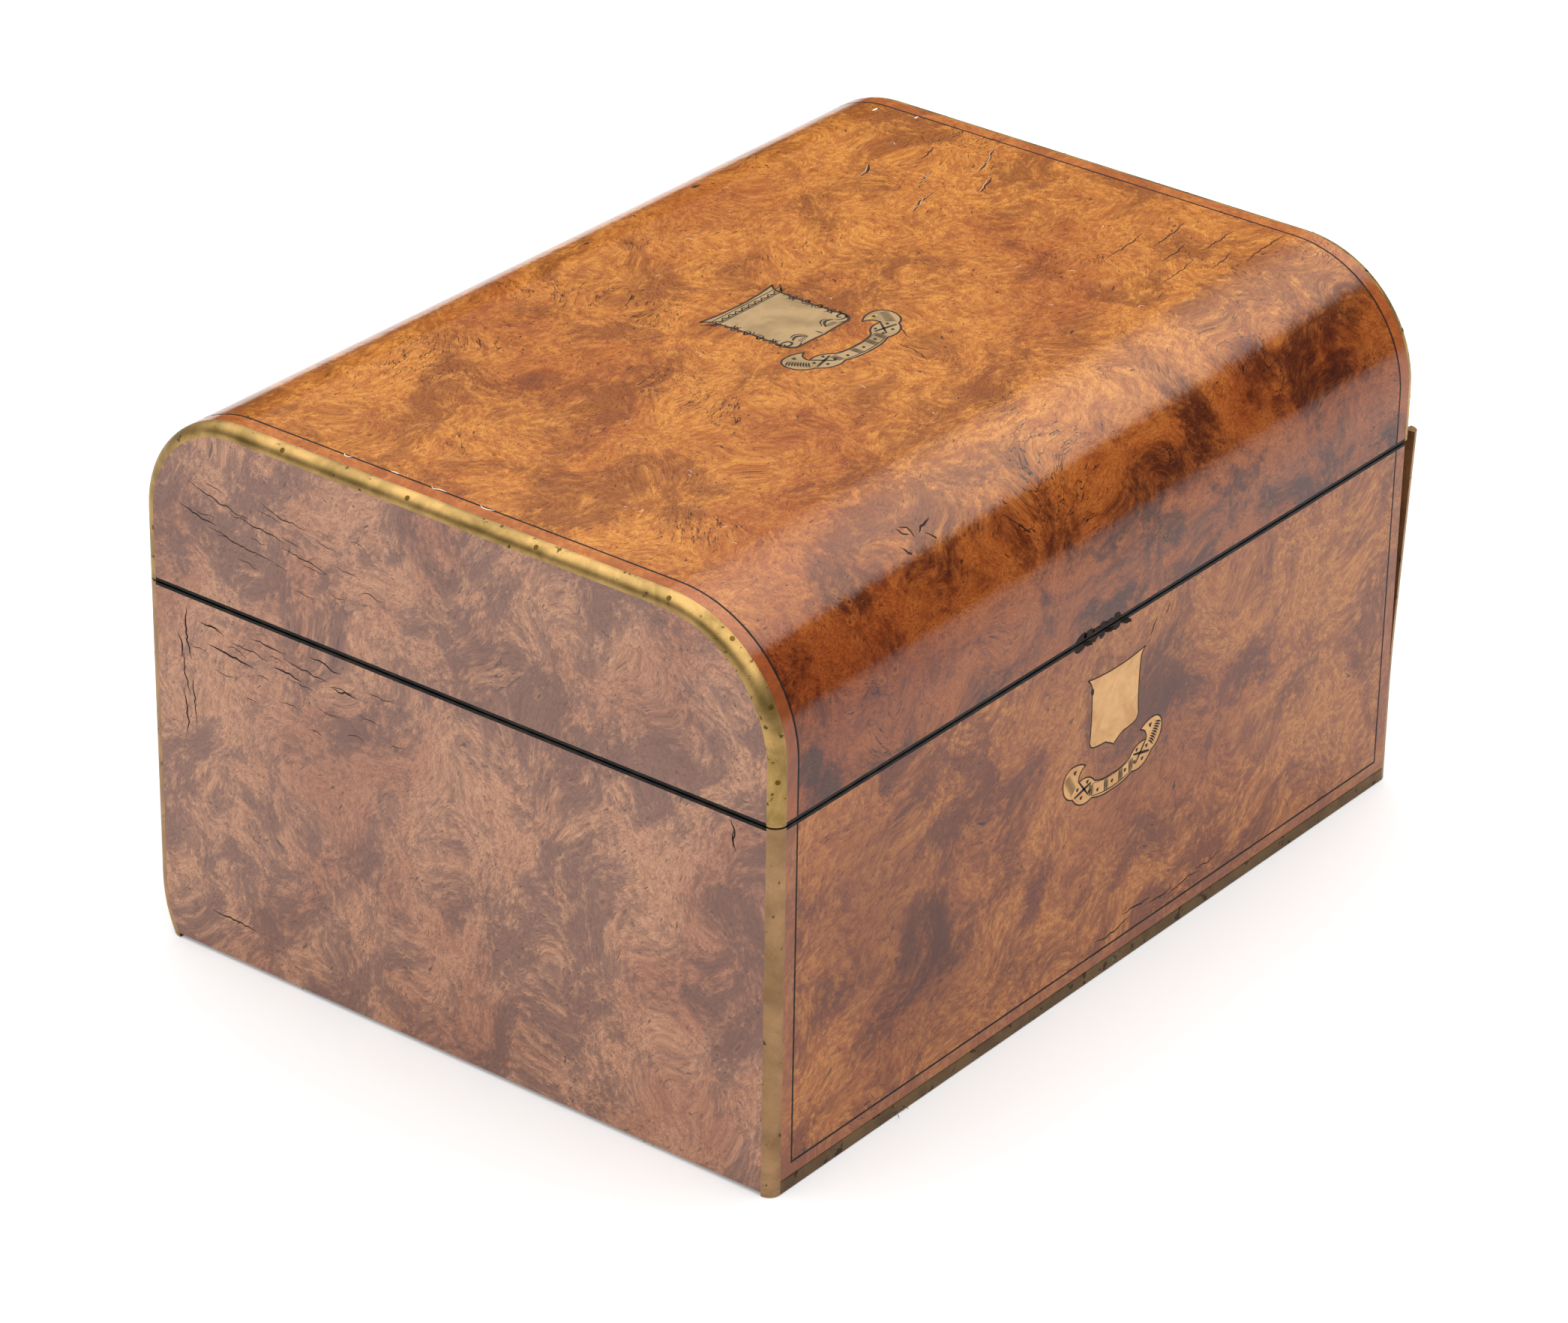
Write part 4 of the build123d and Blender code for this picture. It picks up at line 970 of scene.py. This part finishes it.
def ringRolls(mat):
    bm = bmesh.new()
    around, along = rolls["around"], rolls["along"]
    for n, (low, high) in enumerate(islands("ring_rolls")):
        middle = (low.x + high.x) / 2
        radius = high.z - low.z
        rows = []
        for k in range(along + 1):
            y = low.y + (high.y - low.y) * (0.5 - 0.5 * cos(pi * k / along))
            fall = rounded(min(y - low.y, high.y - y), rolls["end"])
            pucker = rolls["pucker"] * hills.noise(Vector((n * 5.0, y / rolls["puckerLength"], 1.0)))
            reach = radius * (0.25 + 0.75 * fall) * (0.95 + pucker)
            wide = min(reach, (high.x - low.x) / 2 * 0.97)
            row = []
            for a in (pi * m / around for m in range(around + 1)):
                gather = 1 + rolls["gather"] * sin(a * 9 + n) * (1 - fall)
                row.append(bm.verts.new((middle + wide * cos(a), y, low.z + reach * sin(a) * gather)))
            rows.append(row)
        skinOver(bm, rows)
    piece = fit(bm, "ring_roll_pads", mat, "drawer", True, ("ring_rolls",))


gathers = {"pitch": 4.6 * mm, "depth": 0.9 * mm, "bulge": 2.4 * mm, "across": 14, "perPleat": 9}


def rectangleAt(low, high, share, stops):  # a place on a rectangle; stops are the shares of its corners
    corners = ((low.x, low.y), (high.x, low.y), (high.x, high.y), (low.x, high.y), (low.x, low.y))
    side = next(k for k in range(4) if share <= stops[k + 1] or k == 3)
    part = (share - stops[side]) / (stops[side + 1] - stops[side])
    return Vector(toward(corners[side], corners[side + 1], part))


def lidSilk(mat):  # ruched silk round the mirror, gathered from its edge to the lid's walls
    low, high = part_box("lid_panel")
    glassLow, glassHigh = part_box("mirror_frame")
    gap = 0.4 * mm
    inner = (glassLow - Vector((gap, gap, 0)), glassHigh + Vector((gap, gap, 0)))
    wide, deep = high.x - low.x, high.y - low.y
    girth = 2 * (wide + deep)
    stops = (0.0, wide / girth, (wide + deep) / girth, (2 * wide + deep) / girth, 1.0)
    pleats = int(girth / gathers["pitch"])
    count = pleats * gathers["perPleat"]
    bm = bmesh.new()
    rows = []
    for k in range(count):
        share = k / count
        start, stop = rectangleAt(low, high, share, stops), rectangleAt(*inner, share, stops)
        row = []
        for m in range(gathers["across"] + 1):
            v = m / gathers["across"]
            drift = 0.9 * hills.noise(Vector((share * 90, v * 1.5, 2.0)))
            fold = abs(sin(pi * (share * pleats + drift))) ** 0.7
            tight = 0.35 + 0.65 * hills.noise(Vector((share * 300, v * 4, 5.0))) ** 2
            bulge = gathers["bulge"] * sin(pi * v) ** 0.6 if 0 < m < gathers["across"] else 0.0
            ease = sin(pi * min(max(v, 0.04), 0.96)) ** 0.4
            z = low.z - bulge - gathers["depth"] * (fold - 0.5) * ease * (0.6 + tight)
            spot = start.lerp(stop, v)
            row.append(bm.verts.new((spot.x, spot.y, z if 0 < m < gathers["across"] else low.z + 0.4 * mm)))
        for spot in (stop, start):
            row.append(bm.verts.new((spot.x, spot.y, high.z)))
        rows.append(row)
    for a, b in zip(rows, rows[1:] + rows[:1]):
        bridge(bm, a, b)
    piece = fit(bm, "lid_silk", mat, "lid", True, ("lid_panel",))


def baizeSheet(mat):
    low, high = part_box("base_baize")
    bm = bmesh.new()
    addPad(bm, low, high, baizePad["step"], baizePad["dip"], 3.0)
    piece = fit(bm, "underside_baize", mat, "case", False, ("base_baize",))


# place along the edge in millimetres, with None for the edge itself, the way out and the count
threads = {"front": (-94.5, None, (0, -1), 4), "leftBack": (None, 55, (-1, 0), 5),
           "leftFront": (None, -70, (-1, 0), 3)}
threadShape = {"length": (1.5, 4.0), "bend": 0.8, "radius": 0.09, "sides": 5}


def baizeThreads(mat):  # loose ends that hang out under the front and the left end
    low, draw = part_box("base_baize")[0], random.Random(4)
    bm = bmesh.new()
    for x, y, (dx, dy), count in threads.values():
        foot = Vector((low.x if x is None else x * mm, low.y if y is None else y * mm, 0.5 * mm))
        for _ in range(count):
            start = foot + Vector((draw.uniform(-2, 2) * abs(dy), draw.uniform(-2, 2) * abs(dx), 0)) * mm
            reach = draw.uniform(*threadShape["length"]) * mm
            bend = draw.uniform(-1, 1) * threadShape["bend"]
            points = []
            for s in (k / 6 for k in range(7)):
                side = bend * s * s * reach
                ahead = Vector((dx * reach * s, dy * reach * s, 0.3 * mm * sin(pi * s)))
                points.append(start + ahead + Vector((dy * side, dx * side, 0)))
            tube(bm, points, threadShape["radius"] * mm, threadShape["sides"])
    fit(bm, "baize_threads", mat, "case", True)


def softGoods():
    blue = velvet()
    velvetPads(blue)
    ringRolls(blue)
    lidSilk(silkFinish())
    green = cloudedFinish("baize")
    baizeSheet(green)
    baizeThreads(green)
    print("linings made")


# ---- screws, pins and mirror

def screw(bm, slots, place, out, radius, turn):
    disc(bm, place, out, radius, 0.08 * mm, 18)
    across = Matrix.Rotation(turn, 3, out) @ out.orthogonal().normalized()
    ends = [place + across * radius * share for share in (-0.85, -0.4, 0, 0.4, 0.85)]
    ribbon(slots, ends, radius * 0.28, [out] * 5, 0.11 * mm, 0.1)


# shares of a leaf where its screws sit, and in millimetres their way from its front edge, the way from the
# lock's ends, the heads' radius and a height between the two leaves
screwPlaces = {"leaf": (0.16, 0.5, 0.84), "back": 3.0, "inset": 3.2, "radius": 1.5, "joint": 115.0}


def screws(metal, dark):
    draw = random.Random(8)
    up, radius = Vector((0, 0, 1)), screwPlaces["radius"] * mm
    hinges = islands("hinge_pins")
    parts = (("case", "hinge_lower_leaves", "lock_case", 1),
             ("lid", "hinge_upper_leaves", "lock_link_plate", -1))
    for body, leafName, lockName, side in parts:
        bm, slots = bmesh.new(), bmesh.new()
        skin, y = skinOf(leafName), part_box(leafName)[0].y + screwPlaces["back"] * mm
        for low, high in hinges:
            for share in screwPlaces["leaf"]:
                spot = Vector((low.x + (high.x - low.x) * share, y, screwPlaces["joint"] * mm))
                hit = skin.ray_cast(spot, up * -side)
                if hit[0]:
                    screw(bm, slots, hit[0], up * side, radius, draw.uniform(0, pi))
        low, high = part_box(lockName)
        for end in (-1, 1):
            x = (low.x + high.x) / 2 + end * ((high.x - low.x) / 2 - screwPlaces["inset"] * mm)
            spot = Vector((x, (low.y + high.y) / 2, high.z if side > 0 else low.z))
            screw(bm, slots, spot, up * side, radius, draw.uniform(0, pi))
        fit(bm, body + "_screws", metal, body)
        fit(slots, body + "_screw_slots", dark, body)


pins = {"topPitch": 45.0, "topCount": 4, "rollPitch": 21.0, "rollCount": 3, "radius": 0.75}


def stripPins(mat):  # spaced along the top, and closer together down the front roll
    low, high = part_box("lid_arch_strips")
    skin = skinOf("lid_arch_strips")
    bm = bmesh.new()
    for x in (low.x, high.x):
        middleZ = low.z + (high.z - low.z) * 0.2
        # the strip's outline is walked from the back of the top to the foot of the front
        path = [Vector((x, high.y - (high.y - low.y) * n / 400, high.z)) for n in range(401)]
        path += [Vector((x, low.y, high.z - (high.z - middleZ) * n / 100)) for n in range(101)]
        outline = [skin.find_nearest(spot)[0] for spot in path]
        marks = [(n, pins["topPitch"]) for n in range(pins["topCount"])]
        marks += [(n, pins["rollPitch"]) for n in range(pins["rollCount"])]
        wanted, along = pins["topPitch"] * mm, 0.0
        for a, b in zip(outline, outline[1:]):
            along += (b - a).length
            if marks and along >= wanted:
                spot, out, _, _ = skin.find_nearest(b)
                disc(bm, spot, out, pins["radius"] * mm, 0.05 * mm, 16)
                marks.pop(0)
                wanted = along + (marks[0][1] if marks else 0.0) * mm
    fit(bm, "arch_strip_pins", mat, "lid")


beads = {"radius": 0.9, "pitch": 2.6, "outside": 1.4}  # their line lies outside the glass


def mirrorBeads(mat):  # a row of beads round the sight edge of the frame
    low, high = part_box("mirror_glass")
    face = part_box("mirror_frame")[0].z
    reach = beads["outside"] * mm
    lowX, lowY, highX, highY = low.x - reach, low.y - reach, high.x + reach, high.y + reach
    corners = [(lowX, lowY), (highX, lowY), (highX, highY), (lowX, highY)]
    bm = bmesh.new()
    for a, b in zip(corners, corners[1:] + corners[:1]):
        count = round(sqrt((b[0] - a[0]) ** 2 + (b[1] - a[1]) ** 2) / (beads["pitch"] * mm))
        for n in range(count):
            place = Matrix.Translation((*toward(a, b, n / count), face))
            bmesh.ops.create_icosphere(bm, subdivisions=1, radius=beads["radius"] * mm, matrix=place)
    fit(bm, "mirror_beads", mat, "mirror", True)


def metalwork():
    works = plainFinish("screw_brass", "b18a48", Metallic=1.0, Roughness=0.35)
    screws(works, plainFinish("slot_black", "1c140b", Roughness=0.8))
    stripPins(plainFinish("pin_brass", "6f5523", Metallic=1.0, Roughness=0.5))
    mirrorBeads(bpy.data.materials["gilt"])
    print("screws, pins and beads placed")


# ---- studio

studio = {"floor": 14.0, "below": 0.0002, "floorTone": 0.86, "floorGlow": 0.22, "lampPlace": (0.3, 0.3, 1.7),
          "lampSize": 4.2, "lampPower": 78.0, "fill": 0.42, "glowFrom": 0.575, "glowEdge": 0.035,
          "roomDark": 0.04, "ceiling": 2.3}


def buildStudio():
    bm = bmesh.new()
    bmesh.ops.create_grid(bm, x_segments=1, y_segments=1, size=studio["floor"])
    floor = pieceFrom(bm, "floor")
    floor.location.z = -studio["below"]
    mat, shader = newFinish("floor", Roughness=1.0, Specular_IOR_Level=0.0, Emission_Color=(1, 1, 1, 1))
    feed(mat, shader.inputs["Emission Strength"], times(mat, straightRays(mat), studio["floorGlow"]))
    floor.data.materials.append(wear(mat, shader, (studio["floorTone"],) * 3 + (1,)))

    data = bpy.data.lights.new("softbox", "AREA")
    data.shape = "SQUARE"
    data.size = studio["lampSize"]
    data.energy = studio["lampPower"]
    lamp = bpy.data.objects.new("softbox", data)
    lamp.location = studio["lampPlace"]
    lamp.visible_glossy = False
    bpy.context.scene.collection.objects.link(lamp)

    world = bpy.data.worlds.new("room")
    bpy.context.scene.world = world
    world.use_nodes = True
    back = world.node_tree.nodes["Background"]
    way = node(world, "SeparateXYZ", {0: node(world, "TexCoord").outputs["Generated"]})
    # reflections find a dark room up to glowFrom above the horizon, then the lit ceiling, whose edge is
    # softer to the back
    soft = between(world, way.outputs[1], -0.35, 0.35, studio["glowEdge"], studio["glowEdge"] * 7)
    rise = calc(world, "DIVIDE", calc(world, "SUBTRACT", way.outputs[2], studio["glowFrom"]), soft)
    glow = between(world, rise, -1.0, 1.0, studio["roomDark"], studio["ceiling"])
    glossy = node(world, "LightPath").outputs["Is Glossy Ray"]
    inRoom = node(world, "Mix", {0: glossy, 2: studio["fill"], 3: glow}).outputs[0]
    power = node(world, "Mix", {0: straightRays(world), 2: inRoom, 3: 1.0}).outputs[0]
    feed(world, back.inputs["Strength"], power)
    back.inputs["Color"].default_value = (1, 1, 1, 1)
    bpy.context.scene.view_settings.view_transform = "Standard"
    print("studio built")


placeCamera()
buildStudio()
dressNodes()
engravePlates()
ageVeneer()
softGoods()
metalwork()
